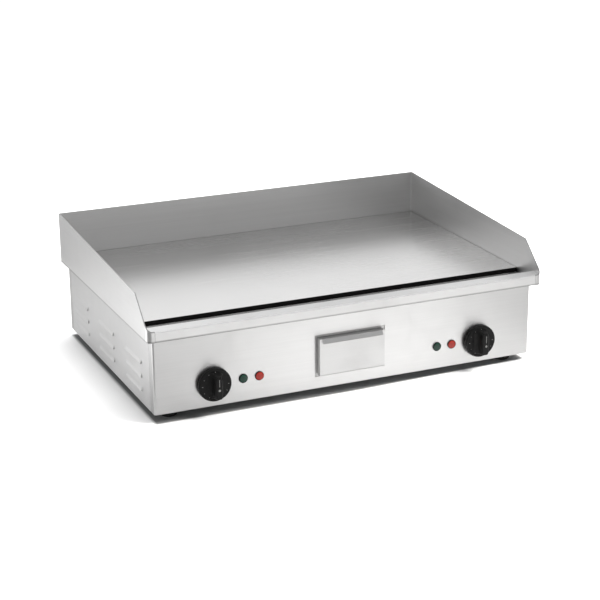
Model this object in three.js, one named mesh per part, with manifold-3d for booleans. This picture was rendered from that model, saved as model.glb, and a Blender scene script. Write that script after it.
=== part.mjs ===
// Countertop flat top griddle, electric, two heating zones, with splash guards and a grease drawer.
// Millimetres, +Z up. The user stands at -Y and looks along +Y; +X is the user's right.
import * as THREE from 'three';
import { mergeVertices } from 'three/addons/utils/BufferGeometryUtils.js';
import Module from 'manifold-3d';

const wasm = await Module();
wasm.setup();

// ---------------------------------------------------------------- driving dimensions
// While it is built, Y = 0 is the face of the front panel and Z = 0 is the worktop.

const BODY_WIDTH = 704;
const BODY_DEPTH = 480;
const BODY_BOTTOM = 15;
const TRAY_BOTTOM = 146;
const SIDE_OVERHANG = 13; // the tray stands this far outside the body at each side
const FRONT_OVERHANG = 17; // and this far in front; at the rear it is flush
const SHEET = 1; // body panels
const GUARD_SHEET = 1.5; // tray and splash guards
const GAP = 0.3; // between pieces that touch

const FOLD_RADIUS = 4; // outside radius of the body's upright corners
const RETURN_LENGTH = 18; // how far the front and rear panels wrap round the sides

const GUARD_REAR_TOP = 239;
const LIP_TOP = 164;
const CHAMFER_RISE = 52; // the guards' front corners are cut off along a line that rises this much
const CHAMFER_RUN = 57; // over this much
const GUARD_CORNER_RADIUS = 10; // where each side guard bends round into the front lip
const GUARD_FLANGE = 25; // width of the flange that carries the plate

const GUTTER_FRONT = 9;
const GUTTER_BACK = 64.7;
const GUTTER_FLOOR = 128;
const GUTTER_HALF_WIDTH = 346;
const DRAIN_Y = 37;
const DRAIN_RADIUS = 12;
const SPOUT_LENGTH = 15;

const PLATE_THICKNESS = 8;
const PLATE_RISE = 3.2; // the plate is this much higher at the back, so that it drains to the gutter
const STUD_RADIUS = 4;
const STUD_LENGTH = 21;

const ZONE_X = 182; // centre of each heating zone
const ELEMENT_RADIUS = 4;
const ELEMENT_PITCH = 80; // between the element's parallel legs
const ELEMENT_FRONT = 75; // where the front bends start, from the plate's front edge
const ELEMENT_BACK = 290; // where the rear bend starts
const ELEMENT_END = 365;
const CLAMP_Y = 180;
const CLAMP_THICKNESS = 3;
const NUT_HEIGHT = 6.4;

const SHIELD_HALF_WIDTH = 335;
const SHIELD_FRONT = 88;
const SHIELD_BACK = 400;
const SHIELD_BOTTOM = 101.7;
const SHIELD_TOP = 131;
const BLANKET_THICKNESS = 20;

const CONTROL_HEIGHT = 55; // knobs and lamps
const KNOB_X = 249;
const KNOB_RADIUS = 29;
const KNOB_FACE = 11.5; // skirt's face, in front of the panel
const KNOB_FRONT = 30; // grip's ridge, in front of the panel
const SHAFT_RADIUS = 3;
const THERMOSTAT_BACK = 38; // back of its housing, behind the panel's face
const INNER_LAMP_X = 167;
const OUTER_LAMP_X = 196;
const LAMP_STEM_RADIUS = 6;
const LAMP_BEZEL_RADIUS = 8;
const LAMP_LENS_RADIUS = 7.2;
const LAMP_RIM = 1.8; // bezel's face, in front of the panel
const LAMP_DOME = 1.6; // rise of the lens above the bezel

const DRAWER_OPENING = { halfWidth: 65.5, bottom: 36, top: 110 };
const DRAWER_FRONT_GAP = 4.7; // reveal round the drawer front
const DRAWER_PROUD = 10;
const DRAWER_HALF_WIDTH = 56;
const DRAWER_BOTTOM = 44;
const DRAWER_TOP = 97;
const DRAWER_LENGTH = 290;
const PULL_HALF_WIDTH = 56;
const PULL_REACH = 4.5; // the finger pull's edge stands this far in front of the drawer front
const PULL_DROP = 7.5; // and this far below its top edge
const RUNNER_LENGTH = 330;

const FOOT_RADIUS = 14;
const FOOT_FROM_SIDE = 35;
const FOOT_FROM_END = 32;
const FOOT_SHOULDER = 7; // depth of the foot's counterbore
const SCREW_RADIUS = 2;

const GLAND_X = 250;
const GLAND_HEIGHT = 60;
const GLAND_THREAD_RADIUS = 10;
const GLAND_END = BODY_DEPTH + 22; // the dome nut's end, the rearmost point
const EARTH_X = 200;
const EARTH_HEIGHT = 40;
const EARTH_STUD_RADIUS = 3;
const TERMINAL_Y = BODY_DEPTH - 53; // middle of the terminal block

// ---------------------------------------------------------------- worked-out dimensions

const BODY_HALF = BODY_WIDTH / 2;
const BODY_TOP = TRAY_BOTTOM - GAP;
const TRAY_HALF = BODY_HALF + SIDE_OVERHANG;
const TRAY_FRONT = -FRONT_OVERHANG;
const TRAY_BACK = BODY_DEPTH;
const GUARD_INSIDE = TRAY_HALF - GUARD_SHEET;
const PLATE_BOTTOM = TRAY_BOTTOM + SHEET + GAP; // at the plate's front edge
const PLATE_FRONT = GUTTER_BACK + GAP;
const PLATE_BACK = TRAY_BACK - GUARD_SHEET - GAP;
const PLATE_DEPTH = PLATE_BACK - PLATE_FRONT;
const PLATE_TILT = Math.atan(PLATE_RISE / PLATE_DEPTH);
const ELEMENT_DROP = GAP + ELEMENT_RADIUS; // from the plate's underside to the element's middle
const CLAMP_TOP = -ELEMENT_DROP - ELEMENT_RADIUS - GAP; // from the plate's underside
const CLAMP_BOTTOM = CLAMP_TOP - CLAMP_THICKNESS;

// ---------------------------------------------------------------- finishes

function finish(color, metalness, roughness) {
  return new THREE.MeshStandardMaterial({ color, metalness, roughness, flatShading: true });
}

const brushedSteel = finish(0xd2d3d3, 0.9, 0.35);
const groundSteel = finish(0xbfc1c2, 0.95, 0.3);
const zincPlate = finish(0xa9adb0, 0.8, 0.5);
const elementSheath = finish(0x5a5c58, 0.7, 0.5);
const blackPhenolic = finish(0x141414, 0, 0.35);
const blackRubber = finish(0x171717, 0, 0.8);
const blackNylon = finish(0x1c1c1e, 0, 0.55);
const greenLens = finish(0x0e5a3c, 0, 0.15);
const redLens = finish(0xc8452e, 0, 0.15);
const ceramicFibre = finish(0xe6e2d6, 0, 0.95);
const ceramic = finish(0xeae6dc, 0, 0.45);
const brass = finish(0xb08d45, 0.9, 0.35);
const copper = finish(0xb0704a, 0.9, 0.35);
const silicone = finish(0x8a3a2c, 0, 0.7);

// ---------------------------------------------------------------- solids and shapes

function toSolid(geometry) {
  const bare = geometry.clone();
  bare.deleteAttribute('normal');
  bare.deleteAttribute('uv');
  const merged = mergeVertices(bare, 1e-4);
  const mesh = new wasm.Mesh({
    numProp: 3,
    vertProperties: new Float32Array(merged.attributes.position.array),
    triVerts: new Uint32Array(merged.index.array),
  });
  return new wasm.Manifold(mesh);
}

function toGeometry(solid) {
  const mesh = solid.getMesh();
  const geometry = new THREE.BufferGeometry();
  geometry.setAttribute('position', new THREE.BufferAttribute(mesh.vertProperties, 3));
  geometry.setIndex(new THREE.BufferAttribute(mesh.triVerts, 1));
  return geometry;
}

function join(...geometries) {
  return geometries.map(toSolid).reduce((whole, next) => whole.add(next));
}

function cut(geometry, ...tools) {
  const solid = geometry instanceof THREE.BufferGeometry ? toSolid(geometry) : geometry;
  return tools.map(toSolid).reduce((rest, tool) => rest.subtract(tool), solid);
}

// a box between two corners
function block([x0, y0, z0], [x1, y1, z1]) {
  const geometry = new THREE.BoxGeometry(Math.abs(x1 - x0), y1 - y0, z1 - z0);
  return geometry.translate((x0 + x1) / 2, (y0 + y1) / 2, (z0 + z1) / 2);
}

// the same box on the left (side = -1) or the right (side = 1)
function sideBlock(side, [x0, y0, z0], [x1, y1, z1]) {
  return block([side * x0, y0, z0], [side * x1, y1, z1]);
}

function rod(radius, from, to, sides = 16) {
  const axis = new THREE.Vector3().subVectors(to, from);
  const geometry = new THREE.CylinderGeometry(radius, radius, axis.length(), sides);
  const turn = new THREE.Quaternion().setFromUnitVectors(new THREE.Vector3(0, 1, 0), axis.normalize());
  geometry.applyQuaternion(turn);
  return geometry.translate((from.x + to.x) / 2, (from.y + to.y) / 2, (from.z + to.z) / 2);
}

function uprightRod(radius, x, y, z0, z1, sides) {
  return rod(radius, new THREE.Vector3(x, y, z0), new THREE.Vector3(x, y, z1), sides);
}

function levelRod(radius, x, z, y0, y1, sides) {
  return rod(radius, new THREE.Vector3(x, y0, z), new THREE.Vector3(x, y1, z), sides);
}

// a flat outline, from its corner points
function outline(points) {
  return new THREE.Shape(points.map(([u, v]) => new THREE.Vector2(u, v)));
}

// an outline in X and Y, extruded upwards
function extrudeUp(shape, z0, z1) {
  const geometry = new THREE.ExtrudeGeometry(shape, { depth: z1 - z0, bevelEnabled: false, steps: 1 });
  return geometry.translate(0, 0, z0);
}

// an outline in Y and Z, extruded across the width
function extrudeAcross(shape, x0, x1) {
  const geometry = new THREE.ExtrudeGeometry(shape, { depth: x1 - x0, bevelEnabled: false, steps: 1 });
  const yAxis = new THREE.Vector3(0, 1, 0);
  const zAxis = new THREE.Vector3(0, 0, 1);
  const xAxis = new THREE.Vector3(1, 0, 0);
  geometry.applyMatrix4(new THREE.Matrix4().makeBasis(yAxis, zAxis, xAxis));
  return geometry.translate(x0, 0, 0);
}

// The edge-on outline of a sheet that follows a line of points, with each corner bent to a radius.
// The points run along the middle of the sheet's thickness.
function foldedSheet(points, thickness, outsideRadius) {
  const BEND_STEPS = 8;
  const line = points.map(([u, v]) => new THREE.Vector2(u, v));
  const middleRadius = outsideRadius - thickness / 2;
  const stations = [];
  const station = (place, heading) => {
    const across = new THREE.Vector2(-heading.y, heading.x).multiplyScalar(thickness / 2);
    stations.push({ place, across });
  };
  const headings = line.slice(1).map((point, i) => point.clone().sub(line[i]).normalize());
  station(line[0], headings[0]);
  for (let i = 1; i < line.length - 1; i += 1) {
    const before = headings[i - 1];
    const after = headings[i];
    const turn = Math.atan2(before.cross(after), before.dot(after));
    const setBack = middleRadius * Math.tan(Math.abs(turn) / 2);
    const start = line[i].clone().addScaledVector(before, -setBack);
    const toCentre = new THREE.Vector2(-before.y, before.x).multiplyScalar(Math.sign(turn) * middleRadius);
    const centre = start.clone().add(toCentre);
    for (let step = 0; step <= BEND_STEPS; step += 1) {
      const angle = (turn * step) / BEND_STEPS;
      const place = start.clone().rotateAround(centre, angle);
      station(place, before.clone().rotateAround(new THREE.Vector2(), angle));
    }
  }
  station(line.at(-1), headings.at(-1));
  const face = (sign) => stations.map(({ place, across }) => place.clone().addScaledVector(across, sign));
  return new THREE.Shape([...face(1), ...face(-1).reverse()]);
}

// a turned piece about the Y axis; its profile is [radius, y] from the lowest y to the highest
function turned(profile, sides) {
  return new THREE.LatheGeometry(profile.map(([radius, y]) => new THREE.Vector2(radius, y)), sides);
}

// the same about the Z axis
function turnedUpright(profile, sides) {
  return turned(profile, sides).rotateX(Math.PI / 2);
}

function hexagonAlongY(acrossFlats, y0, y1) {
  const cornerRadius = acrossFlats / Math.sqrt(3);
  const geometry = new THREE.CylinderGeometry(cornerRadius, cornerRadius, y1 - y0, 6);
  return geometry.translate(0, (y0 + y1) / 2, 0);
}

// A bent tube's centre line: a chain of curves, each with its own number of steps, so that a long
// straight takes one step and a bend takes several.
class Route extends THREE.Curve {
  constructor(legs) {
    super();
    this.legs = legs;
    this.steps = legs.reduce((sum, leg) => sum + leg.steps, 0);
  }

  getPoint(t) {
    let place = t * this.steps;
    for (const leg of this.legs) {
      if (place <= leg.steps || leg === this.legs.at(-1)) {
        return leg.at(place / leg.steps);
      }
      place -= leg.steps;
    }
    return this.legs.at(-1).at(1);
  }

  getUtoTmapping(u) {
    return u;
  }
}

function straightLeg(from, to) {
  return { steps: 1, at: (t) => new THREE.Vector3().lerpVectors(from, to, t) };
}

// a level half turn from (x, y) to (x + 2 * reach, y), bulging towards +Y (bulge = 1) or -Y (-1)
function halfTurn(x, y, z, reach, bulge) {
  const at = (t) => {
    const angle = Math.PI * t;
    return new THREE.Vector3(x + reach * (1 - Math.cos(angle)), y + bulge * reach * Math.sin(angle), z);
  };
  return { steps: 8, at };
}

function tubeAlong(curve, radius, sides, steps) {
  const corners = Array.from({ length: sides }, (_, i) => {
    const angle = (2 * Math.PI * i) / sides;
    return [radius * Math.cos(angle), radius * Math.sin(angle)];
  });
  return new THREE.ExtrudeGeometry(outline(corners), { extrudePath: curve, steps, bevelEnabled: false });
}

// ---------------------------------------------------------------- the scene graph

const griddle = new THREE.Group();

// the middle of the whole griddle, front to back, goes to Y = 0
griddle.position.y = -(GLAND_END - KNOB_FRONT) / 2;

function place(name, shape, material, [x, y, z] = [0, 0, 0], parent = griddle) {
  const geometry = shape instanceof THREE.BufferGeometry ? shape : toGeometry(shape);
  const mesh = new THREE.Mesh(geometry, material);
  mesh.name = name;
  mesh.position.set(x, y, z);
  parent.add(mesh);
  return mesh;
}

const SIDES = [
  { name: 'left', side: -1 },
  { name: 'right', side: 1 },
];

// ---------------------------------------------------------------- body

// front or rear panel: a sheet across the body that wraps round both corners
function wrappedPanel(face, inward) {
  const middle = face + (inward * SHEET) / 2;
  const end = face + inward * RETURN_LENGTH;
  const half = BODY_HALF - SHEET / 2;
  const line = [[-half, end], [-half, middle], [half, middle], [half, end]];
  return extrudeUp(foldedSheet(line, SHEET, FOLD_RADIUS), BODY_BOTTOM, BODY_TOP);
}

function frontPanel() {
  const { halfWidth, bottom, top } = DRAWER_OPENING;
  const drawerHole = block([-halfWidth, -SHEET, bottom], [halfWidth, 2 * SHEET, top]);
  const holeThrough = (radius) => (x) => levelRod(radius, x, CONTROL_HEIGHT, -SHEET, 2 * SHEET);
  const shaftHoles = [-KNOB_X, KNOB_X].map(holeThrough(SHAFT_RADIUS + 2));
  const lampX = [-OUTER_LAMP_X, -INNER_LAMP_X, INNER_LAMP_X, OUTER_LAMP_X];
  const lampHoles = lampX.map(holeThrough(LAMP_STEM_RADIUS + GAP));
  return cut(wrappedPanel(0, 1), drawerHole, ...shaftHoles, ...lampHoles);
}

function rearPanel() {
  const beyond = BODY_DEPTH + SHEET;
  const within = BODY_DEPTH - 2 * SHEET;
  const glandHole = levelRod(GLAND_THREAD_RADIUS + 0.4, GLAND_X, GLAND_HEIGHT, within, beyond);
  const earthHole = levelRod(EARTH_STUD_RADIUS + 0.4, EARTH_X, EARTH_HEIGHT, within, beyond, 12);
  return cut(wrappedPanel(BODY_DEPTH, -1), glandHole, earthHole);
}

// side panel with three columns and three rows of pressed louvres, their mouths facing down
function sidePanel(side) {
  const ROWS = [40, 64, 88];
  const COLUMNS = [100, 250, 400];
  const LOUVRE_HALF_LENGTH = 40;
  const RISE = 5;
  const DROP = 3;
  const PROUD = 2.2;
  const front = RETURN_LENGTH + GAP;
  const back = BODY_DEPTH - RETURN_LENGTH - GAP;
  const outer = BODY_HALF;
  const inner = BODY_HALF - SHEET;
  const prism = (points, y, halfLength) => {
    const shape = outline(points.map(([x, z]) => [side * x, -z]));
    const geometry = extrudeUp(shape, -halfLength, halfLength).rotateX(-Math.PI / 2);
    return geometry.translate(0, y, 0);
  };
  const hoods = [];
  const mouths = [];
  for (const z of ROWS) {
    for (const y of COLUMNS) {
      const hood = [[inner, z + RISE], [outer, z + RISE], [outer + PROUD, z - DROP], [inner, z - DROP]];
      const mouth = [
        [inner - SHEET, z + RISE - 2 * SHEET],
        [inner, z + RISE - 2 * SHEET],
        [outer + PROUD - SHEET, z - DROP - SHEET],
        [outer, z - DROP - SHEET],
        [outer, z - DROP],
        [inner - SHEET, z - DROP],
      ];
      hoods.push(prism(hood, y, LOUVRE_HALF_LENGTH));
      mouths.push(prism(mouth, y, LOUVRE_HALF_LENGTH - SHEET));
    }
  }
  const panel = sideBlock(side, [inner, front, BODY_BOTTOM], [outer, back, BODY_TOP]);
  return cut(join(panel, ...hoods), ...mouths);
}

const FOOT_PLACES = [
  { name: 'front_left', x: FOOT_FROM_SIDE - BODY_HALF, y: FOOT_FROM_END },
  { name: 'front_right', x: BODY_HALF - FOOT_FROM_SIDE, y: FOOT_FROM_END },
  { name: 'rear_left', x: FOOT_FROM_SIDE - BODY_HALF, y: BODY_DEPTH - FOOT_FROM_END },
  { name: 'rear_right', x: BODY_HALF - FOOT_FROM_SIDE, y: BODY_DEPTH - FOOT_FROM_END },
];

// base plate: a shallow pan inside the body, with foot screw holes and cooling slots
function basePlate() {
  const RIM = 11;
  const SLOT_HALF_LENGTH = 30;
  const SLOT_HALF_WIDTH = 2;
  const SLOT_ROWS = [150, 180, 210, 240, 270, 300];
  const half = BODY_HALF - SHEET - GAP;
  const front = SHEET + GAP;
  const back = BODY_DEPTH - SHEET - GAP;
  const CORNER = 3;
  const footprint = (inset) => outline([
    [-half + inset, front + inset + CORNER], [-half + inset + CORNER, front + inset],
    [half - inset - CORNER, front + inset], [half - inset, front + inset + CORNER],
    [half - inset, back - inset - CORNER], [half - inset - CORNER, back - inset],
    [-half + inset + CORNER, back - inset], [-half + inset, back - inset - CORNER],
  ]);
  const outside = extrudeUp(footprint(0), BODY_BOTTOM, BODY_BOTTOM + RIM);
  const inside = extrudeUp(footprint(SHEET), BODY_BOTTOM + SHEET, BODY_BOTTOM + 2 * RIM);
  const below = BODY_BOTTOM - SHEET;
  const above = BODY_BOTTOM + 2 * SHEET;
  const screwHoles = FOOT_PLACES.map(({ x, y }) => uprightRod(SCREW_RADIUS + GAP, x, y, below, above, 10));
  const slots = [];
  for (const middle of [-ZONE_X, ZONE_X]) {
    for (const y of SLOT_ROWS) {
      const nearCorner = [middle - SLOT_HALF_LENGTH, y - SLOT_HALF_WIDTH, below];
      const farCorner = [middle + SLOT_HALF_LENGTH, y + SLOT_HALF_WIDTH, above];
      slots.push(block(nearCorner, farCorner));
    }
  }
  return cut(outside, inside, ...screwHoles, ...slots);
}

// rubber foot with a counterbore for its screw
function foot() {
  const TAPER = 1.5;
  const COUNTERBORE = 5.5;
  const bore = SCREW_RADIUS + 0.4;
  const top = BODY_BOTTOM - GAP;
  return turnedUpright([
    [COUNTERBORE, 0], [FOOT_RADIUS - TAPER, 0], [FOOT_RADIUS, 2 * TAPER], [FOOT_RADIUS, top],
    [bore, top], [bore, FOOT_SHOULDER], [COUNTERBORE, FOOT_SHOULDER], [COUNTERBORE, 0],
  ], 20);
}

// pan head screw, from the foot's counterbore up through the base plate
function footScrew() {
  const HEAD_RADIUS = 4.5;
  const HEAD_HEIGHT = 3.5;
  const headTop = FOOT_SHOULDER - GAP;
  const headBottom = headTop - HEAD_HEIGHT;
  const end = BODY_BOTTOM + 8.5;
  return turnedUpright([
    [0, headBottom], [HEAD_RADIUS - 1, headBottom], [HEAD_RADIUS, headBottom + 1.2], [HEAD_RADIUS, headTop],
    [SCREW_RADIUS, headTop], [SCREW_RADIUS, end - 1.5], [0, end],
  ], 10);
}

place('front_panel', frontPanel(), brushedSteel);
place('rear_panel', rearPanel(), brushedSteel);
for (const { name, side } of SIDES) {
  place(`${name}_side_panel`, sidePanel(side), brushedSteel);
}
place('base_plate', basePlate(), zincPlate);
for (const { name, x, y } of FOOT_PLACES) {
  place(`foot_${name}`, foot(), blackRubber, [x, y, 0]);
  place(`foot_screw_${name}`, footScrew(), zincPlate, [x, y, 0]);
}

// ---------------------------------------------------------------- tray and splash guards

// Side guard: an upright sheet that bends round the front corner into the lip's face, with a ledge
// under the plate. Its top edge falls gently to the front and then drops steeply.
function sideGuard(side) {
  const middle = side * (TRAY_HALF - GUARD_SHEET / 2);
  const front = TRAY_FRONT + GUARD_SHEET / 2;
  const line = [[side * BODY_HALF, front], [middle, front], [middle, TRAY_BACK]];
  const plan = foldedSheet(line, GUARD_SHEET, GUARD_CORNER_RADIUS);
  const profile = outline([
    [2 * TRAY_FRONT, TRAY_BOTTOM], [TRAY_BACK - TRAY_FRONT, TRAY_BOTTOM],
    [TRAY_BACK - TRAY_FRONT, GUARD_REAR_TOP], [TRAY_BACK, GUARD_REAR_TOP],
    [TRAY_FRONT + CHAMFER_RUN, LIP_TOP + CHAMFER_RISE], [TRAY_FRONT, LIP_TOP], [2 * TRAY_FRONT, LIP_TOP],
  ]);
  const upright = toSolid(extrudeUp(plan, TRAY_BOTTOM, GUARD_REAR_TOP));
  const trimmed = upright.intersect(toSolid(extrudeAcross(profile, -2 * BODY_HALF, 2 * BODY_HALF)));
  const ledgeBack = TRAY_BACK - GUARD_FLANGE - 2 * GAP;
  const ledgeRise = (ledgeBack - PLATE_FRONT) * Math.tan(PLATE_TILT);
  const ledgeProfile = outline([
    [PLATE_FRONT, TRAY_BOTTOM], [ledgeBack, TRAY_BOTTOM + ledgeRise],
    [ledgeBack, TRAY_BOTTOM + ledgeRise + SHEET], [PLATE_FRONT, TRAY_BOTTOM + SHEET],
  ]);
  const ledgeEnds = [side * (TRAY_HALF - GUARD_FLANGE), side * (TRAY_HALF - SHEET)];
  const ledge = extrudeAcross(ledgeProfile, Math.min(...ledgeEnds), Math.max(...ledgeEnds));
  return trimmed.add(toSolid(ledge));
}

// rear guard: an upright sheet with a ledge under the plate's back edge
function rearGuard() {
  const half = GUARD_INSIDE - GAP;
  const ledgeFront = TRAY_BACK - GUARD_FLANGE;
  const ledgeTop = TRAY_BOTTOM + SHEET + (ledgeFront - PLATE_FRONT) * Math.tan(PLATE_TILT);
  const upright = block([-half, TRAY_BACK - GUARD_SHEET, TRAY_BOTTOM], [half, TRAY_BACK, GUARD_REAR_TOP]);
  const ledge = block([-half, ledgeFront, ledgeTop - SHEET], [half, TRAY_BACK - SHEET, ledgeTop]);
  return join(upright, ledge);
}

// Front lip: a channel with its open side to the back. Its face runs between the side guards' ends,
// and its level flanges fill the tray's rounded front corners.
function frontLip() {
  const radius = GUARD_CORNER_RADIUS - GUARD_SHEET - GAP;
  const half = GUARD_INSIDE - GAP;
  const front = TRAY_FRONT + GUARD_SHEET + GAP;
  const back = GUTTER_FRONT + SHEET;
  const level = (yBack) => {
    const shape = new THREE.Shape();
    shape.moveTo(-half, yBack);
    shape.lineTo(-half, front + radius);
    shape.absarc(-half + radius, front + radius, radius, Math.PI, 1.5 * Math.PI, false);
    shape.absarc(half - radius, front + radius, radius, 1.5 * Math.PI, 2 * Math.PI, false);
    shape.lineTo(half, yBack);
    return shape;
  };
  const levelFlange = (yBack, z0) => {
    const settings = { depth: SHEET, bevelEnabled: false, curveSegments: 5 };
    return new THREE.ExtrudeGeometry(level(yBack), settings).translate(0, 0, z0);
  };
  const faceHalf = BODY_HALF - GAP;
  const faceMiddle = TRAY_FRONT + GUARD_SHEET / 2;
  const FACE_FOLD = 2;
  const faceSection = foldedSheet([
    [front + FACE_FOLD, LIP_TOP - GUARD_SHEET / 2], [faceMiddle, LIP_TOP - GUARD_SHEET / 2],
    [faceMiddle, TRAY_BOTTOM + GUARD_SHEET / 2], [front + FACE_FOLD, TRAY_BOTTOM + GUARD_SHEET / 2],
  ], GUARD_SHEET, FACE_FOLD);
  const face = extrudeAcross(faceSection, -faceHalf, faceHalf);
  return join(face, levelFlange(back, LIP_TOP - SHEET), levelFlange(GUTTER_FRONT - GAP, TRAY_BOTTOM));
}

// Gutter: a trough between the lip and the plate, with end walls, level flanges that reach out to
// the side guards, and upright webs that close the lip's channel at its ends.
function greaseGutter() {
  const front = GUTTER_FRONT + SHEET / 2;
  const back = GUTTER_BACK - SHEET / 2;
  const floor = GUTTER_FLOOR - SHEET / 2;
  const section = foldedSheet([
    [front, LIP_TOP - SHEET - GAP], [front, floor], [back, floor], [back, TRAY_BOTTOM + SHEET],
  ], SHEET, FOLD_RADIUS);
  const half = GUTTER_HALF_WIDTH;
  const trough = extrudeAcross(section, -half, half);
  const top = TRAY_BOTTOM + SHEET;
  const reach = GUARD_INSIDE - GAP;
  const endWalls = [-1, 1].map((side) =>
    sideBlock(side, [half - SHEET, GUTTER_FRONT, GUTTER_FLOOR - SHEET], [half, GUTTER_BACK, top]));
  const endFlanges = [-1, 1].map((side) =>
    sideBlock(side, [half - SHEET, GUTTER_FRONT, TRAY_BOTTOM], [reach, GUTTER_BACK, top]));
  const behindLip = GUTTER_FRONT + SHEET;
  const endWebs = [-1, 1].map((side) =>
    sideBlock(side, [half - SHEET, GUTTER_FRONT, TRAY_BOTTOM], [reach, behindLip, LIP_TOP - SHEET - GAP]));
  const drain = uprightRod(DRAIN_RADIUS, 0, DRAIN_Y, GUTTER_FLOOR - 3 * SHEET, GUTTER_FLOOR + SHEET, 20);
  return cut(join(trough, ...endWalls, ...endFlanges, ...endWebs), drain);
}

// short pipe welded under the drain hole
function drainSpout() {
  const top = GUTTER_FLOOR - SHEET - GAP;
  const bottom = top - SPOUT_LENGTH;
  const pipe = DRAIN_RADIUS + SHEET;
  const flange = DRAIN_RADIUS + 5;
  return turnedUpright([
    [DRAIN_RADIUS, bottom], [pipe, bottom], [pipe, top - SHEET],
    [flange, top - SHEET], [flange, top], [DRAIN_RADIUS, top], [DRAIN_RADIUS, bottom],
  ], 20);
}

for (const { name, side } of SIDES) {
  place(`${name}_splash_guard`, sideGuard(side), brushedSteel);
}
place('rear_splash_guard', rearGuard(), brushedSteel);
place('front_lip', frontLip(), brushedSteel);
place('grease_gutter', greaseGutter(), brushedSteel);
place('drain_spout', drainSpout(), zincPlate, [0, DRAIN_Y, 0]);

// ---------------------------------------------------------------- griddle plate and heating

// The plate and what is clamped under it are built in the plate's own frame: Y = 0 at its front edge
// and Z = 0 at its underside. That frame is tilted, so that the plate drains to the gutter.

// thick steel plate with two threaded studs welded under each zone
function griddlePlate() {
  const half = GUARD_INSIDE - GAP;
  const slab = block([-half, 0, 0], [half, PLATE_DEPTH, PLATE_THICKNESS]);
  const studs = [];
  for (const middle of [-ZONE_X, ZONE_X]) {
    for (const x of [middle - ELEMENT_PITCH, middle + ELEMENT_PITCH]) {
      studs.push(uprightRod(STUD_RADIUS, x, CLAMP_Y, -STUD_LENGTH, SHEET, 10));
    }
  }
  return join(slab, ...studs);
}

// tubular element, bent into a W, both cold ends at the rear
function heatingElement() {
  const reach = ELEMENT_PITCH / 2;
  const legX = [-1.5, -0.5, 0.5, 1.5].map((n) => n * ELEMENT_PITCH);
  const point = (x, y) => new THREE.Vector3(x, y, 0);
  const route = new Route([
    straightLeg(point(legX[0], ELEMENT_END), point(legX[0], ELEMENT_FRONT)),
    halfTurn(legX[0], ELEMENT_FRONT, 0, reach, -1),
    straightLeg(point(legX[1], ELEMENT_FRONT), point(legX[1], ELEMENT_BACK)),
    halfTurn(legX[1], ELEMENT_BACK, 0, reach, 1),
    straightLeg(point(legX[2], ELEMENT_BACK), point(legX[2], ELEMENT_FRONT)),
    halfTurn(legX[2], ELEMENT_FRONT, 0, reach, -1),
    straightLeg(point(legX[3], ELEMENT_FRONT), point(legX[3], ELEMENT_END)),
  ]);
  return tubeAlong(route, ELEMENT_RADIUS, 8, route.steps);
}

// flat bar that presses the element against the plate
function clampBar() {
  const half = 1.5 * ELEMENT_PITCH + 15;
  const HALF_DEPTH = 10;
  const bar = block([-half, -HALF_DEPTH, CLAMP_BOTTOM], [half, HALF_DEPTH, CLAMP_TOP]);
  const holes = [-ELEMENT_PITCH, ELEMENT_PITCH].map((x) =>
    uprightRod(STUD_RADIUS + GAP + 0.2, x, 0, CLAMP_BOTTOM - SHEET, CLAMP_TOP + SHEET, 10));
  return cut(bar, ...holes);
}

function clampNut() {
  const ACROSS_FLATS = 13;
  const hexagon = hexagonAlongY(ACROSS_FLATS, 0, NUT_HEIGHT).rotateX(Math.PI / 2);
  return cut(hexagon, uprightRod(STUD_RADIUS + GAP, 0, 0, -SHEET, NUT_HEIGHT + SHEET, 10));
}

// ceramic fibre blanket under one zone
function insulationBlanket(side) {
  const inner = 8;
  const outer = SHIELD_HALF_WIDTH - SHEET - GAP;
  const bottom = SHIELD_BOTTOM + SHEET + GAP;
  return sideBlock(side, [inner, SHIELD_FRONT + SHEET + GAP, bottom],
    [outer, SHIELD_BACK - SHEET - GAP, bottom + BLANKET_THICKNESS]);
}

// pan that holds the blankets up, with flanges out to the side panels
function heatShield() {
  const half = SHIELD_HALF_WIDTH;
  const outside = block([-half, SHIELD_FRONT, SHIELD_BOTTOM], [half, SHIELD_BACK, SHIELD_TOP]);
  const inside = block([-half + SHEET, SHIELD_FRONT + SHEET, SHIELD_BOTTOM + SHEET],
    [half - SHEET, SHIELD_BACK - SHEET, SHIELD_TOP + SHEET]);
  const flanges = [-1, 1].map((side) => sideBlock(side, [half - SHEET, SHIELD_FRONT, SHIELD_TOP - SHEET],
    [BODY_HALF - SHEET - GAP, SHIELD_BACK, SHIELD_TOP]));
  return cut(outside, inside).add(toSolid(flanges[0])).add(toSolid(flanges[1]));
}

const hotTop = new THREE.Group();
hotTop.position.set(0, PLATE_FRONT, PLATE_BOTTOM);
hotTop.rotation.x = PLATE_TILT;
griddle.add(hotTop);

place('griddle_plate', griddlePlate(), groundSteel, [0, 0, 0], hotTop);
place('heat_shield_pan', heatShield(), zincPlate);
for (const { name, side } of SIDES) {
  const middle = side * ZONE_X;
  const nutBottom = CLAMP_BOTTOM - GAP - NUT_HEIGHT;
  const outerNut = [middle + side * ELEMENT_PITCH, CLAMP_Y, nutBottom];
  const innerNut = [middle - side * ELEMENT_PITCH, CLAMP_Y, nutBottom];
  place(`heating_element_${name}`, heatingElement(), elementSheath, [middle, 0, -ELEMENT_DROP], hotTop);
  place(`element_clamp_bar_${name}`, clampBar(), zincPlate, [middle, CLAMP_Y, 0], hotTop);
  place(`clamp_nut_${name}_outer`, clampNut(), zincPlate, outerNut, hotTop);
  place(`clamp_nut_${name}_inner`, clampNut(), zincPlate, innerNut, hotTop);
  place(`insulation_blanket_${name}`, insulationBlanket(side), ceramicFibre);
}

// ---------------------------------------------------------------- controls
// Each control is built about its own axis, with Y = 0 at the panel's face.

const BODY_START = SHEET + GAP;

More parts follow.
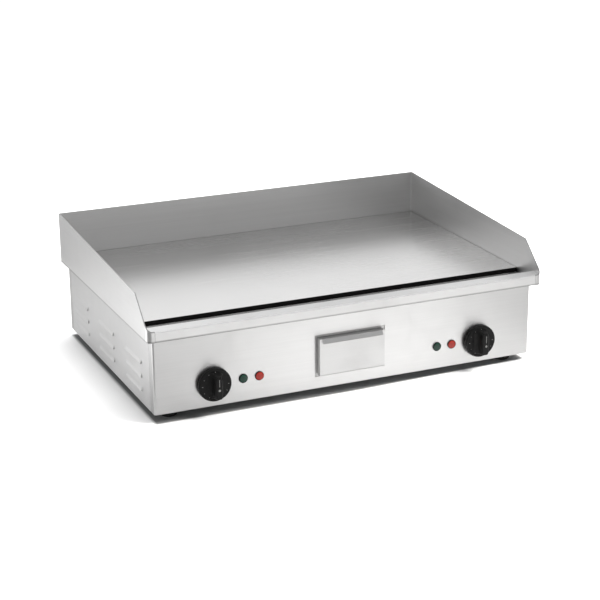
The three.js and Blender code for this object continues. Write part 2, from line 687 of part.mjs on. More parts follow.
// thermostat housing behind the panel, bored for its shaft
function thermostatBody() {
  const HALF_WIDTH = 22;
  const HALF_HEIGHT = 18;
  const lowCorner = [-HALF_WIDTH, BODY_START + 4, -HALF_HEIGHT];
  const box = block(lowCorner, [HALF_WIDTH, THERMOSTAT_BACK, HALF_HEIGHT]);
  const collar = levelRod(SHAFT_RADIUS + 4, 0, 0, BODY_START, BODY_START + 5, 12);
  return cut(join(box, collar), levelRod(SHAFT_RADIUS + 0.4, 0, 0, 0, 14, 12));
}

function thermostatShaft() {
  return levelRod(SHAFT_RADIUS, 0, 0, -17, 13, 12);
}

// bulb under the plate, and the capillary tube from it to the thermostat
function thermostatBulb(side) {
  const BULB_RADIUS = 3;
  const CAPILLARY_RADIUS = 1;
  const bulbX = side * ZONE_X;
  const bulbFront = 190;
  const bulbBack = 290;
  const underside = (y) => PLATE_BOTTOM + (y - PLATE_FRONT) * Math.tan(PLATE_TILT);
  const bulbEnd = (y) => new THREE.Vector3(bulbX, y, underside(y) - GAP - BULB_RADIUS);
  const bulb = rod(BULB_RADIUS, bulbEnd(bulbFront), bulbEnd(bulbBack), 8);
  const bulbZ = bulbEnd(bulbFront).z;
  const between = (GUTTER_BACK + SHIELD_FRONT) / 2; // the tube drops between gutter and shield
  const route = new THREE.CatmullRomCurve3([
    new THREE.Vector3(bulbX, bulbFront + 2, bulbZ),
    new THREE.Vector3(bulbX, bulbFront - 60, bulbZ - 3),
    new THREE.Vector3(bulbX, between + 16, bulbZ - 4),
    new THREE.Vector3(bulbX + side * 3, between, bulbZ - 16),
    new THREE.Vector3(bulbX + side * 20, between, GUTTER_FLOOR - 30),
    new THREE.Vector3(side * KNOB_X - side * 30, between - 8, CONTROL_HEIGHT + 20),
    new THREE.Vector3(side * KNOB_X - side * 6, 60, CONTROL_HEIGHT + 6),
    new THREE.Vector3(side * KNOB_X, THERMOSTAT_BACK + GAP, CONTROL_HEIGHT),
  ]);
  return join(bulb, tubeAlong(route, CAPILLARY_RADIUS, 6, 30));
}

// moulded knob: a deep round skirt with a tapered grip bar, bored for the shaft
function knob() {
  const face = -KNOB_FACE;
  const ridge = -KNOB_FRONT;
  const back = -1.8;
  const skirt = turned([
    [0, face], [KNOB_RADIUS - 6, face], [KNOB_RADIUS - 1.2, face + 1], [KNOB_RADIUS, face + 2.4],
    [KNOB_RADIUS, back - 1.2], [KNOB_RADIUS - 1, back], [0, back],
  ], 36);
  const root = face + 2;
  const acrossGrip = outline([
    [-12.5, root], [-11.5, face - 1.5], [-7.5, face - 7], [-5.6, ridge + 1.5], [-4.2, ridge],
    [4.2, ridge], [5.6, ridge + 1.5], [7.5, face - 7], [11.5, face - 1.5], [12.5, root],
  ]);
  const alongGrip = outline([
    [root, -22], [face - 3, -21.5], [ridge + 4, -20], [ridge + 1, -18.5], [ridge, -16],
    [ridge, 16], [ridge + 1, 18.5], [ridge + 4, 20], [face - 3, 21.5], [root, 22],
  ]);
  const wide = toSolid(extrudeUp(acrossGrip, -KNOB_RADIUS, KNOB_RADIUS));
  const tall = toSolid(extrudeAcross(alongGrip, -KNOB_RADIUS, KNOB_RADIUS));
  const bore = toSolid(levelRod(SHAFT_RADIUS + GAP, 0, 0, -18, 0, 12));
  return toSolid(skirt).add(wide.intersect(tall)).subtract(bore);
}

// pilot lamp holder: a bezel in front of the panel and a stem through it
function lampBody() {
  const seat = LAMP_LENS_RADIUS + GAP;
  const bezel = LAMP_BEZEL_RADIUS;
  return turned([
    [0, -0.9], [seat, -0.9], [seat, -LAMP_RIM],
    [bezel - 0.4, -LAMP_RIM], [bezel, 0.5 - LAMP_RIM], [bezel, -GAP],
    [LAMP_STEM_RADIUS, -GAP], [LAMP_STEM_RADIUS, 24], [4, 24], [4, 30], [0, 30],
  ], 20);
}

function lampLens() {
  const profile = [[0, -LAMP_RIM - LAMP_DOME]];
  const RINGS = 5;
  for (let ring = 1; ring <= RINGS; ring += 1) {
    const angle = (ring / RINGS) * (Math.PI / 2);
    profile.push([LAMP_LENS_RADIUS * Math.sin(angle), -LAMP_RIM - LAMP_DOME * Math.cos(angle)]);
  }
  profile.push([LAMP_LENS_RADIUS, -1.2], [0, -1.2]);
  return turned(profile, 20);
}

for (const { name, side } of SIDES) {
  const axis = [side * KNOB_X, 0, CONTROL_HEIGHT];
  place(`knob_${name}`, knob(), blackPhenolic, axis);
  place(`thermostat_shaft_${name}`, thermostatShaft(), zincPlate, axis);
  place(`thermostat_body_${name}`, thermostatBody(), ceramic, axis);
  place(`thermostat_bulb_${name}`, thermostatBulb(side), copper);
}

const LAMPS = [
  { name: 'power_lamp_left', x: -OUTER_LAMP_X, lens: greenLens },
  { name: 'heating_lamp_left', x: -INNER_LAMP_X, lens: redLens },
  { name: 'power_lamp_right', x: INNER_LAMP_X, lens: greenLens },
  { name: 'heating_lamp_right', x: OUTER_LAMP_X, lens: redLens },
];
for (const { name, x, lens } of LAMPS) {
  place(`${name}_body`, lampBody(), blackNylon, [x, 0, CONTROL_HEIGHT]);
  place(`${name}_lens`, lampLens(), lens, [x, 0, CONTROL_HEIGHT]);
}

// ---------------------------------------------------------------- grease drawer

// Drawer front: a shallow pan that stands proud of the panel, with a sloping finger pull along its
// top edge.
function drawerFront() {
  const half = DRAWER_OPENING.halfWidth - DRAWER_FRONT_GAP;
  const bottom = DRAWER_OPENING.bottom + DRAWER_FRONT_GAP;
  const top = DRAWER_OPENING.top - DRAWER_FRONT_GAP;
  const face = -DRAWER_PROUD;
  const REBATE = 8; // width of the folded edge that the drawer is welded to
  const outside = block([-half, face, bottom], [half, 0, top]);
  const wall = half - SHEET;
  const edge = half - REBATE;
  const hollow = block([-wall, face + SHEET, bottom + SHEET], [wall, -SHEET, top - SHEET]);
  const window = block([-edge, -2 * SHEET, bottom + REBATE], [edge, SHEET, top - REBATE]);
  const pull = outline([
    [face + SHEET / 2, top], [face - 0.3, top], [face - PULL_REACH, top - PULL_DROP],
    [face - PULL_REACH + SHEET, top - PULL_DROP - 0.4], [face + SHEET / 2, top - 1.6],
  ]);
  return cut(outside, hollow, window).add(toSolid(extrudeAcross(pull, -PULL_HALF_WIDTH, PULL_HALF_WIDTH)));
}

function drawerBox() {
  const half = DRAWER_HALF_WIDTH;
  const outside = block([-half, GAP, DRAWER_BOTTOM], [half, DRAWER_LENGTH, DRAWER_TOP]);
  const inside = block([-half + SHEET, GAP + SHEET, DRAWER_BOTTOM + SHEET],
    [half - SHEET, DRAWER_LENGTH - SHEET, DRAWER_TOP + SHEET]);
  return cut(outside, inside);
}

// thin frame behind the front panel that narrows its opening to the size of the drawer
function drawerSurround() {
  const { halfWidth, bottom, top } = DRAWER_OPENING;
  const BORDER = 9; // how far it overlaps the panel round the opening
  const CLEARANCE = 1;
  const front = SHEET + GAP;
  const back = front + SHEET;
  const outerHalf = halfWidth + BORDER;
  const frame = block([-outerHalf, front, bottom - BORDER], [outerHalf, back, top + BORDER]);
  const side = DRAWER_HALF_WIDTH + CLEARANCE;
  const nearCorner = [-side, front - SHEET, DRAWER_BOTTOM - CLEARANCE];
  const farCorner = [side, back + SHEET, DRAWER_TOP + CLEARANCE];
  return cut(frame, block(nearCorner, farCorner));
}

// Runner: an angle that the drawer slides on, with a tab on the surround and a leg on the base plate.
function drawerRunner(side) {
  const SHELF = 10;
  const WEB_HEIGHT = 36;
  const TAB = 22;
  const web = DRAWER_HALF_WIDTH + 2; // clear of the drawer's side
  const top = DRAWER_BOTTOM - GAP;
  const bottom = top - SHEET;
  const start = 2 * (SHEET + GAP);
  const shelf = sideBlock(side, [web - SHELF, start, bottom], [web + SHEET, RUNNER_LENGTH, top]);
  const upright = sideBlock(side, [web, start, bottom], [web + SHEET, RUNNER_LENGTH, bottom + WEB_HEIGHT]);
  const tab = sideBlock(side, [web, start, bottom], [web + TAB, start + SHEET, bottom + WEB_HEIGHT]);
  const leg = sideBlock(side, [web - SHELF, RUNNER_LENGTH - SHEET, BODY_BOTTOM + SHEET + GAP],
    [web + SHEET, RUNNER_LENGTH, top]);
  return join(shelf, upright, tab, leg);
}

place('drawer_front', drawerFront(), brushedSteel);
place('drawer_box', drawerBox(), brushedSteel);
place('drawer_surround', drawerSurround(), brushedSteel);
for (const { name, side } of SIDES) {
  place(`drawer_runner_${name}`, drawerRunner(side), zincPlate);
}

// ---------------------------------------------------------------- power inlet and wiring

// cable gland: body and locknut clamp the rear panel, and the dome nut closes on the cord
const GLAND_BORE = 6.5;
const GLAND_HEX_END = BODY_DEPTH + GAP + 6;

function glandBody() {
  const ACROSS_FLATS = 25;
  const THREAD_LENGTH = 15;
  const threadEnd = BODY_DEPTH + 2;
  const thread = levelRod(GLAND_THREAD_RADIUS, 0, 0, threadEnd - THREAD_LENGTH, threadEnd, 20);
  const hexagon = hexagonAlongY(ACROSS_FLATS, BODY_DEPTH + GAP, GLAND_HEX_END);
  const bore = levelRod(GLAND_BORE, 0, 0, BODY_DEPTH - 20, BODY_DEPTH + 20, 16);
  return cut(join(thread, hexagon), bore);
}

function glandDomeNut() {
  const RADIUS = 12.5;
  const start = GLAND_HEX_END + GAP;
  return turned([
    [GLAND_BORE, start], [RADIUS, start], [RADIUS, start + 8], [RADIUS - 1.1, start + 12],
    [RADIUS - 2.9, GLAND_END], [GLAND_BORE, GLAND_END], [GLAND_BORE, start],
  ], 24);
}

function glandLocknut() {
  const end = BODY_DEPTH - SHEET - GAP;
  const hexagon = hexagonAlongY(26, end - 5, end);
  return cut(hexagon, levelRod(GLAND_THREAD_RADIUS + GAP, 0, 0, end - 10, end + 5, 20));
}

// equipotential bonding stud with its nut
function earthStud() {
  const HEAD_RADIUS = 5.5;
  const headEnd = BODY_DEPTH - SHEET - GAP;
  const tip = BODY_DEPTH + 14;
  const radius = EARTH_STUD_RADIUS;
  return turned([
    [0, headEnd - 4], [HEAD_RADIUS, headEnd - 4], [HEAD_RADIUS, headEnd], [radius, headEnd],
    [radius, tip - 1], [radius - 0.6, tip], [0, tip],
  ], 12);
}

function earthNut() {
  const start = BODY_DEPTH + GAP;
  const bore = levelRod(EARTH_STUD_RADIUS + GAP, 0, 0, start - 5, start + 10, 12);
  return cut(hexagonAlongY(10, start, start + 5), bore);
}

// three-pole terminal block with its screw wells
function terminalBlock() {
  const POLES = 3;
  const PITCH = 18;
  const HEIGHT = 24;
  const WELL_DEPTH = 10;
  const half = (POLES * PITCH) / 2;
  const base = block([-half, -14, 0], [half, 14, HEIGHT]);
  const wells = [];
  for (let pole = 0; pole < POLES; pole += 1) {
    for (const y of [-8, 8]) {
      wells.push(uprightRod(4, PITCH * (pole - 1), y, HEIGHT - WELL_DEPTH, HEIGHT + SHEET, 8));
    }
  }
  return cut(base, ...wells);
}

// Sleeved wires from the terminal block to one thermostat, lying along the base plate. The left one
// crosses the body behind the drawer's runners.
function wiringLoom(side) {
  const LOOM_RADIUS = 4;
  const low = BODY_BOTTOM + SHEET + LOOM_RADIUS + 2;
  const start = GLAND_X + side * 29;
  const crossing = [
    [start - 50, TERMINAL_Y, low],
    [0, TERMINAL_Y, low],
    [-260, TERMINAL_Y - 7, low],
    [-300, TERMINAL_Y - 52, low],
  ];
  const direct = [
    [start + 24, TERMINAL_Y - 20, low],
    [304, TERMINAL_Y - 62, low],
  ];
  const points = [
    [start, TERMINAL_Y, low + 6],
    [start + side * 10, TERMINAL_Y, low + 5],
    ...(side < 0 ? crossing : direct),
    [side * 304, 220, low],
    [side * 300, 100, low],
    [side * 300, 62, low + 6],
    [side * 296, 32, CONTROL_HEIGHT - 8],
    [side * 284, 24, CONTROL_HEIGHT - 4],
    [side * (KNOB_X + 23), 24, CONTROL_HEIGHT - 4],
  ];
  const curve = new THREE.CatmullRomCurve3(points.map(([x, y, z]) => new THREE.Vector3(x, y, z)));
  return tubeAlong(curve, LOOM_RADIUS, 6, side < 0 ? 44 : 30);
}

place('cable_gland_body', glandBody(), blackNylon, [GLAND_X, 0, GLAND_HEIGHT]);
place('cable_gland_dome_nut', glandDomeNut(), blackNylon, [GLAND_X, 0, GLAND_HEIGHT]);
place('cable_gland_locknut', glandLocknut(), blackNylon, [GLAND_X, 0, GLAND_HEIGHT]);
place('earth_stud', earthStud(), brass, [EARTH_X, 0, EARTH_HEIGHT]);
place('earth_nut', earthNut(), brass, [EARTH_X, 0, EARTH_HEIGHT]);
place('terminal_block', terminalBlock(), ceramic, [GLAND_X, TERMINAL_Y, BODY_BOTTOM + SHEET + GAP]);
for (const { name, side } of SIDES) {
  place(`wiring_loom_${name}`, wiringLoom(side), silicone);
}

export default griddle;
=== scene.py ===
"""The looks of a countertop flat top griddle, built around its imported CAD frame.

Metres, in the row frame: +X to the user's right, +Y away from the user, +Z up, the worktop at Z = 0.
"""

import math

import bmesh
import bpy
from mathutils import Matrix, Vector


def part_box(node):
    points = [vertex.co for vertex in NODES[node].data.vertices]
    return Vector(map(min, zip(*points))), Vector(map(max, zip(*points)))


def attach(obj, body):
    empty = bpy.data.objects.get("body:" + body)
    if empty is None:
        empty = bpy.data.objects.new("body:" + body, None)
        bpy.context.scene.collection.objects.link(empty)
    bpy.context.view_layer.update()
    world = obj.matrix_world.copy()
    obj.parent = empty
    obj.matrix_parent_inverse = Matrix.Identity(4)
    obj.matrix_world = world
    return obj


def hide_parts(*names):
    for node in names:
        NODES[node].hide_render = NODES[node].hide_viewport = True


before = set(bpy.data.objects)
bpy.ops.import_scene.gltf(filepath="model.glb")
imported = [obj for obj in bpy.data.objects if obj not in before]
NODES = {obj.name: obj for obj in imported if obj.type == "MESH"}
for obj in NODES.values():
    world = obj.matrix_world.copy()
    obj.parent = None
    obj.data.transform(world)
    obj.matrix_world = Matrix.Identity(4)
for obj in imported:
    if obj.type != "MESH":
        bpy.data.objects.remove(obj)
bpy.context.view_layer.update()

MM = 0.001
SIDES = ("left", "right")
CORNERS = ("front_left", "front_right", "rear_left", "rear_right")


def middle(name):
    low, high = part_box(name)
    return (low + high) / 2


def half_width(name):
    """Half the width of a CAD node, in millimetres."""
    low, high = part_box(name)
    return (high.x - low.x) / 2 / MM


# ---------------------------------------------------------------- camera

CAMERA_AZIMUTH = math.radians(-23.61)
CAMERA_ELEVATION = math.radians(18.39)
CAMERA_ROLL = math.radians(-0.51)
CAMERA_DISTANCE = 2.98775
CAMERA_TARGET = Vector((0.00733, -0.00882, 0.09452))
CAMERA_LENS = 98.68


def make_camera():
    """Looks at the griddle from the front and a little to its left, from above."""
    lens = bpy.data.cameras.new("camera")
    lens.lens = CAMERA_LENS
    lens.clip_end = 100
    camera = bpy.data.objects.new("camera", lens)
    bpy.context.scene.collection.objects.link(camera)
    level = math.cos(CAMERA_ELEVATION)
    back = Vector((
        math.sin(CAMERA_AZIMUTH) * level,
        -math.cos(CAMERA_AZIMUTH) * level,
        math.sin(CAMERA_ELEVATION),
    ))
    right = Vector((0, 0, 1)).cross(back).normalized()
    up = back.cross(right)
    turn = Matrix((right, up, back)).transposed() @ Matrix.Rotation(CAMERA_ROLL, 3, "Z")
    camera.matrix_world = Matrix.Translation(CAMERA_TARGET + back * CAMERA_DISTANCE) @ turn.to_4x4()
    bpy.context.scene.camera = camera


make_camera()


# ---------------------------------------------------------------- materials

class Recipe:
    """A node material. Each method adds nodes and returns the output that carries the result."""

    def __init__(self, name, **fixed):
        self.material = bpy.data.materials.new(name)
        self.material.use_nodes = True
        self.tree = self.material.node_tree
        self.shader = self.tree.nodes["Principled BSDF"]
        for socket, value in fixed.items():
            self.shader.inputs[socket.replace("_", " ")].default_value = value
        self.place = self.add("ShaderNodeTexCoord").outputs["Object"]

    def add(self, kind, **settings):
        node = self.tree.nodes.new(kind)
        for key, value in settings.items():
            setattr(node, key, value)
        return node

    def feed(self, socket, value):
        """Links an output to a socket, or sets the socket to a constant."""
        if isinstance(value, bpy.types.NodeSocket):
            self.tree.links.new(value, socket)
        else:
            socket.default_value = value

    def feed_all(self, node, values):
        for name, value in values.items():
            self.feed(node.inputs[name], value)

    def set(self, socket, value):
        self.feed(self.shader.inputs[socket], value)

    def stretched(self, scale):
        node = self.add("ShaderNodeMapping")
        self.feed_all(node, {"Vector": self.place, "Scale": scale})
        return node.outputs["Vector"]

    def noise(self, scale, detail=3, roughness=0.5, where=None, distortion=0.0):
        node = self.add("ShaderNodeTexNoise")
        self.feed_all(node, {
            "Vector": where or self.place,
            "Scale": scale,
            "Detail": detail,
            "Roughness": roughness,
            "Distortion": distortion,
        })
        return node.outputs["Fac"]

    def cells(self, scale):
        node = self.add("ShaderNodeTexVoronoi", feature="F1")
        self.feed_all(node, {"Vector": self.place, "Scale": scale})
        return node.outputs["Distance"]

    def waves(self, scale, direction, distortion):
        node = self.add("ShaderNodeTexWave", bands_direction=direction)
        self.feed_all(node, {"Vector": self.place, "Scale": scale, "Distortion": distortion})
        return node.outputs["Fac"]

    def span(self, value, low, high, from_low=0.0, from_high=1.0):
        """Runs from low to high while the value runs from from_low to from_high, and stays there."""
        node = self.add("ShaderNodeMapRange")
        self.feed_all(node, {
            "Value": value,
            "From Min": from_low,
            "From Max": from_high,
            "To Min": low,
            "To Max": high,
        })
        return node.outputs["Result"]

    def calculate(self, operation, first, second=0.0):
        node = self.add("ShaderNodeMath", operation=operation)
        self.feed(node.inputs[0], first)
        self.feed(node.inputs[1], second)
        return node.outputs["Value"]

    def plus(self, first, second):
        return self.calculate("ADD", first, second)

    def minus(self, first, second):
        return self.calculate("SUBTRACT", first, second)

    def times(self, first, second):
        return self.calculate("MULTIPLY", first, second)

    def absolute(self, value):
        return self.calculate("ABSOLUTE", value)

    def blend(self, amount, first, second):
        node = self.add("ShaderNodeMix", data_type="RGBA")
        self.feed_all(node, {"Factor": amount, "A": first, "B": second})
        return node.outputs["Result"]

    def ramp(self, value, *stops):
        """Colours between stops, each of them (position, (r, g, b))."""
        node = self.add("ShaderNodeValToRGB")
        self.feed(node.inputs["Fac"], value)
        points = node.color_ramp.elements
        while len(points) < len(stops):
            points.new(1)
        for point, (position, colour) in zip(points, stops):
            point.position = position
            point.color = solid(colour)
        return node.outputs["Color"]

    def along_axis(self, vector, axis):
        """One component of a vector."""
        split = self.add("ShaderNodeSeparateXYZ")
        self.feed(split.inputs["Vector"], vector)
        return split.outputs[axis]

    def geometry(self, output):
        return self.add("ShaderNodeNewGeometry").outputs[output]

    def facing(self, axis):
        """The surface's own normal along one axis."""
        return self.along_axis(self.geometry("Normal"), axis)

    def edges(self, radius):
        """1 on a worn edge, 0 on a flat face."""
        rounded = self.add("ShaderNodeBevel", samples=4)
        self.feed(rounded.inputs["Radius"], radius)
        dot = self.add("ShaderNodeVectorMath", operation="DOT_PRODUCT")
        self.feed(dot.inputs[0], rounded.outputs["Normal"])
        self.feed(dot.inputs[1], self.geometry("Normal"))
        return self.span(dot.outputs["Value"], 1.0, 0.0, 0.75, 0.98)

    def grain_across(self, direction):
        """Turns the brushed highlight to run across the grain."""
        node = self.add("ShaderNodeCombineXYZ")
        self.feed_all(node, dict(zip("XYZ", direction)))
        self.set("Tangent", node.outputs["Vector"])

    def bump(self, height, depth, strength):
        node = self.add("ShaderNodeBump")
        self.feed_all(node, {"Height": height, "Distance": depth, "Strength": strength})
        self.set("Normal", node.outputs["Normal"])


def grey(level, warmth=0.0):
    return (level * (1 + warmth), level, level * (1 - warmth))


def solid(colour):
    """A colour with full opacity, the way a colour socket takes it."""
    return (*colour, 1)


def grain_scale(axis, scale_across, scale_along):
    """The scale of a noise that is drawn out along one axis."""
    return [scale_along if number == axis else scale_across for number in range(3)]


def with_painted_top_shade(steel, sheet, level):
    """Painted shade: whatever looks upwards on the sheet is darkened to one grey level, so its top edges
    read as grey lines.
    """
    upward = steel.span(steel.facing("Z"), 0.0, 1.0, 0.10, 0.40)
    return steel.blend(upward, sheet, solid(grey(level)))


def with_painted_fold_highlight(steel, sheet):
    """Painted highlight: bends that look half upwards are painted bright, and the ends of the piece more
    so than the middle.
    """
    fold_highlight_tone = 0.98
    end_highlight_tone = 0.95
    upward = steel.facing("Z")
    off_upright = steel.span(upward, 0.0, 1.0, 0.05, 0.35)
    off_level = steel.span(upward, 1.0, 0.0, 0.90, 0.99)
    sheet = steel.blend(steel.times(off_upright, off_level), sheet, solid(grey(fold_highlight_tone)))
    from_middle = steel.absolute(steel.along_axis(steel.place, "X"))
    # painted highlight, stronger towards the ends of the piece
    ends = steel.span(from_middle, 0.0, 0.45, 0.06, 0.34)
    return steel.blend(ends, sheet, solid(grey(end_highlight_tone)))


def with_painted_hem_shade(steel, sheet, piece, level):
    """Painted shade: the lowest 4 mm of a piece darkens towards its bottom edge."""
    darkest_shade = level * 0.48
    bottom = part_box(piece)[0].z
    height = steel.along_axis(steel.geometry("Position"), "Z")
    low = steel.span(height, 0.80, 0.0, bottom + 1.8 * MM, bottom + 3.8 * MM)
    return steel.blend(low, sheet, solid(grey(darkest_shade)))


def brushed_steel(name, along, level, roughness, painted_top_shade_level=None, hem_shade_piece=None, paints_fold_highlight=False):
    """Stainless sheet brushed along one axis: fine grain, broader bands, faint smears, polished edges.

    Its optional arguments, in order: the grey level of painted shade on whatever looks upwards, the piece
    whose bottom edge gets a painted shade band, and whether the bends and the ends get a painted
    highlight.
    """
    axis = "XYZ".index(along)
    steel = Recipe(name, Metallic=1.0, Anisotropic=0.7)
    steel.grain_across([0.0 if number == axis else 1.0 for number in range(3)])
    fine_place = steel.stretched(grain_scale(axis, 1400.0, 9.0))
    band_place = steel.stretched(grain_scale(axis, 110.0, 1.6))
    fine = steel.noise(1.0, detail=4, roughness=0.65, where=fine_place)
    bands = steel.noise(1.0, detail=3, where=band_place)
    smears = steel.noise(7.0, detail=4, roughness=0.6, distortion=0.6)
    prints = steel.noise(38.0, detail=2)
    grain = steel.plus(steel.times(fine, 0.6), steel.times(bands, 0.4))
    worn = steel.edges(0.9 * MM)

    dull = grey(level * 0.94, 0.002)
    bright = grey(level * 1.05, 0.002)
    smeared = grey(level * 0.93, 0.006)
    rubbed = grey(min(1.0, level * 1.12))
    sheet = steel.ramp(grain, (0.25, dull), (0.75, bright))
    sheet = steel.blend(steel.span(smears, 0.0, 0.35, 0.52, 0.78), sheet, solid(smeared))
    sheet = steel.blend(steel.times(worn, 0.5), sheet, solid(rubbed))
    # painted shade on whatever looks upwards
    if painted_top_shade_level is not None:
        sheet = with_painted_top_shade(steel, sheet, painted_top_shade_level)
    # painted highlight on the bends and the ends
    if paints_fold_highlight:
        sheet = with_painted_fold_highlight(steel, sheet)
    # painted shade band along the piece's bottom edge
    if hem_shade_piece is not None:
        sheet = with_painted_hem_shade(steel, sheet, hem_shade_piece, level)
    steel.set("Base Color", sheet)

    brushed = steel.span(grain, roughness - 0.05, roughness + 0.05, 0.3, 0.7)
    touched = steel.span(steel.times(smears, prints), 0.0, 0.07, 0.2, 0.45)
    steel.set("Roughness", steel.minus(steel.plus(brushed, touched), steel.times(worn, 0.10)))
    steel.bump(fine, 0.02 * MM, 0.5)
    return steel.material


def ground_plate():
    """Thick steel plate: a finely ground top, dark mill scale on its edges and underside."""
    plate = Recipe("ground_plate", Metallic=1.0, Anisotropic=0.55)
    plate.grain_across((0.0, 1.0, 1.0))
    fine = plate.noise(1.0, detail=4, roughness=0.65, where=plate.stretched((12.0, 1100.0, 1100.0)))
    passes = plate.noise(1.0, detail=2, where=plate.stretched((1.2, 42.0, 42.0)))
    clouds = plate.noise(3.0, detail=4, roughness=0.5)
    flakes = plate.noise(420.0, detail=5, roughness=0.7)
    grain = plate.plus(plate.times(fine, 0.70), plate.times(passes, 0.30))
    is_top = plate.span(plate.facing("Z"), 0.0, 1.0, 0.80, 0.95)

    top = plate.ramp(grain, (0.25, grey(0.60, 0.004)), (0.75, grey(0.66, 0.004)))
    top = plate.blend(plate.span(clouds, 0.0, 0.3, 0.5, 0.8), top, solid(grey(0.60, 0.012)))
    scale = plate.ramp(flakes, (0.3, (0.010, 0.010, 0.011)), (0.75, (0.034, 0.032, 0.031)))
    plate.set("Base Color", plate.blend(is_top, scale, top))

    ground = plate.plus(plate.span(grain, 0.22, 0.28, 0.3, 0.7), plate.span(clouds, 0.0, 0.05, 0.4, 0.75))
    scaly = plate.span(flakes, 0.55, 0.75)
    is_scaly = plate.span(is_top, 1.0, 0.0)
    plate.set("Roughness", plate.plus(plate.times(ground, is_top), plate.times(scaly, is_scaly)))
    plate.bump(plate.plus(plate.times(fine, is_top), flakes), 0.03 * MM, 0.4)
    return plate.material


def zinc_plate():
    """Galvanised sheet: pale spangle with a dull bloom here and there."""
    zinc = Recipe("zinc_plate", Metallic=1.0)
    spangle = zinc.cells(120.0)
    fine = zinc.noise(900.0, detail=3)
    bloom = zinc.noise(14.0, detail=5, roughness=0.6)
    dulled = (0.50, 0.49, 0.46)
    colour = zinc.ramp(spangle, (0.0, (0.52, 0.54, 0.56)), (0.8, (0.64, 0.66, 0.67)))
    zinc.set("Base Color", zinc.blend(zinc.span(bloom, 0.0, 0.6, 0.55, 0.8), colour, solid(dulled)))
    zinc.set("Roughness", zinc.plus(zinc.span(spangle, 0.38, 0.5), zinc.span(bloom, 0.0, 0.12)))
    zinc.bump(fine, 0.03 * MM, 0.4)
    return zinc.material


def plated_screw():
    """Bright plated fastener, duller in patches."""
    steel = Recipe("plated_screw", Metallic=1.0)
    fine = steel.noise(1500.0, detail=3)
    patches = steel.noise(260.0, detail=3)
    steel.set("Base Color", steel.ramp(patches, (0.3, (0.50, 0.50, 0.51)), (0.7, (0.66, 0.66, 0.65))))
    steel.set("Roughness", steel.span(patches, 0.22, 0.38))
    steel.bump(fine, 0.02 * MM, 0.4)
    return steel.material


def element_tube():
    """Sheath of a heating element, browned and blued by heat."""
    tube = Recipe("element_tube", Metallic=1.0)
    heat = tube.noise(11.0, detail=4)
    fine = tube.noise(700.0, detail=3)
    dark = (0.13, 0.12, 0.11)
    straw = (0.22, 0.19, 0.15)
    blued = (0.16, 0.17, 0.20)
    tube.set("Base Color", tube.ramp(heat, (0.35, dark), (0.5, straw), (0.68, blued)))
    tube.set("Roughness", tube.span(fine, 0.40, 0.58))
    tube.bump(fine, 0.04 * MM, 0.5)
    return tube.material


def moulded(name, dark, light, roughness, texture=1800.0, depth=0.02 * MM, gloss=0.5, edge=0.0):
    """A moulded plastic or rubber: fine texture, cloudy sheen, and edges rubbed paler."""
    plastic = Recipe(name, Specular_IOR_Level=gloss)
    skin = plastic.noise(texture, detail=3)
    clouds = plastic.noise(60.0, detail=4, roughness=0.6)
    handled = plastic.noise(220.0, detail=3)
    body = plastic.ramp(clouds, (0.3, dark), (0.75, light))
    if edge:
        worn = plastic.times(plastic.edges(0.5 * MM), plastic.span(handled, 0.0, edge, 0.35, 0.7))
        rubbed = [min(1.0, channel * 3.2 + 0.03) for channel in light]
        body = plastic.blend(worn, body, solid(rubbed))
    plastic.set("Base Color", body)
    cloudy = plastic.span(clouds, roughness - 0.06, roughness + 0.06, 0.3, 0.7)
    plastic.set("Roughness", plastic.plus(cloudy, plastic.span(handled, 0.0, 0.06)))
    plastic.bump(skin, depth, 0.5)
    return plastic.material


def lens_plastic(name, deep, bright):
    """Tinted lamp lens: clear gloss over colour that pools between its rings."""
    lens = Recipe(name, Specular_IOR_Level=0.3, Coat_Weight=0.2, Coat_Roughness=0.06, IOR=1.49)
    pool = lens.noise(320.0, detail=2)
    dust = lens.noise(1500.0, detail=2)
    lens.set("Base Color", lens.ramp(pool, (0.32, deep), (0.7, bright)))
    lens.set("Roughness", lens.span(dust, 0.10, 0.22))
    lens.bump(pool, 0.04 * MM, 0.3)
    return lens.material


def fibre_blanket():
    """Pale mineral wool: strands drawn out along X, gathered in tufts."""
    fibre = Recipe("fibre_blanket")
    along = fibre.stretched((160.0, 420.0, 420.0))
    strands = fibre.noise(1.0, detail=6, roughness=0.75, where=along, distortion=2.0)
    tufts = fibre.noise(90.0, detail=5, roughness=0.7)
    fibre.set("Base Color", fibre.ramp(strands, (0.3, (0.62, 0.60, 0.54)), (0.7, (0.86, 0.84, 0.79))))
    fibre.set("Roughness", fibre.span(tufts, 0.86, 1.0))
    fibre.bump(fibre.plus(strands, tufts), 0.6 * MM, 0.9)
    return fibre.material


def glazed_ceramic():
    """Cream glaze over pale ceramic, with brown specks."""
    glaze = Recipe("glazed_ceramic", Coat_Weight=0.3, Coat_Roughness=0.1)
    specks = glaze.noise(520.0, detail=4, roughness=0.7)
    tone = glaze.noise(30.0, detail=3)
    brown = (0.40, 0.34, 0.26)
    colour = glaze.ramp(tone, (0.3, (0.74, 0.71, 0.63)), (0.7, (0.83, 0.80, 0.73)))
    glaze.set("Base Color", glaze.blend(glaze.span(specks, 0.0, 0.6, 0.66, 0.8), colour, solid(brown)))
    glaze.set("Roughness", glaze.span(tone, 0.3, 0.5))
    glaze.bump(specks, 0.04 * MM, 0.4)
    return glaze.material


def yellow_metal(name, clean, tarnished, roughness):
    """Copper or brass: turned, and tarnished in clouds."""
    metal = Recipe(name, Metallic=1.0)
    tarnish = metal.noise(90.0, detail=5, roughness=0.6)
    turning = metal.noise(1.0, detail=3, where=metal.stretched((900.0, 60.0, 900.0)))
    metal.set("Base Color", metal.ramp(tarnish, (0.35, clean), (0.75, tarnished)))
    clouded = metal.span(tarnish, roughness, roughness + 0.2)
    metal.set("Roughness", metal.plus(clouded, metal.span(turning, -0.04, 0.04)))
    metal.bump(turning, 0.02 * MM, 0.5)
    return metal.material


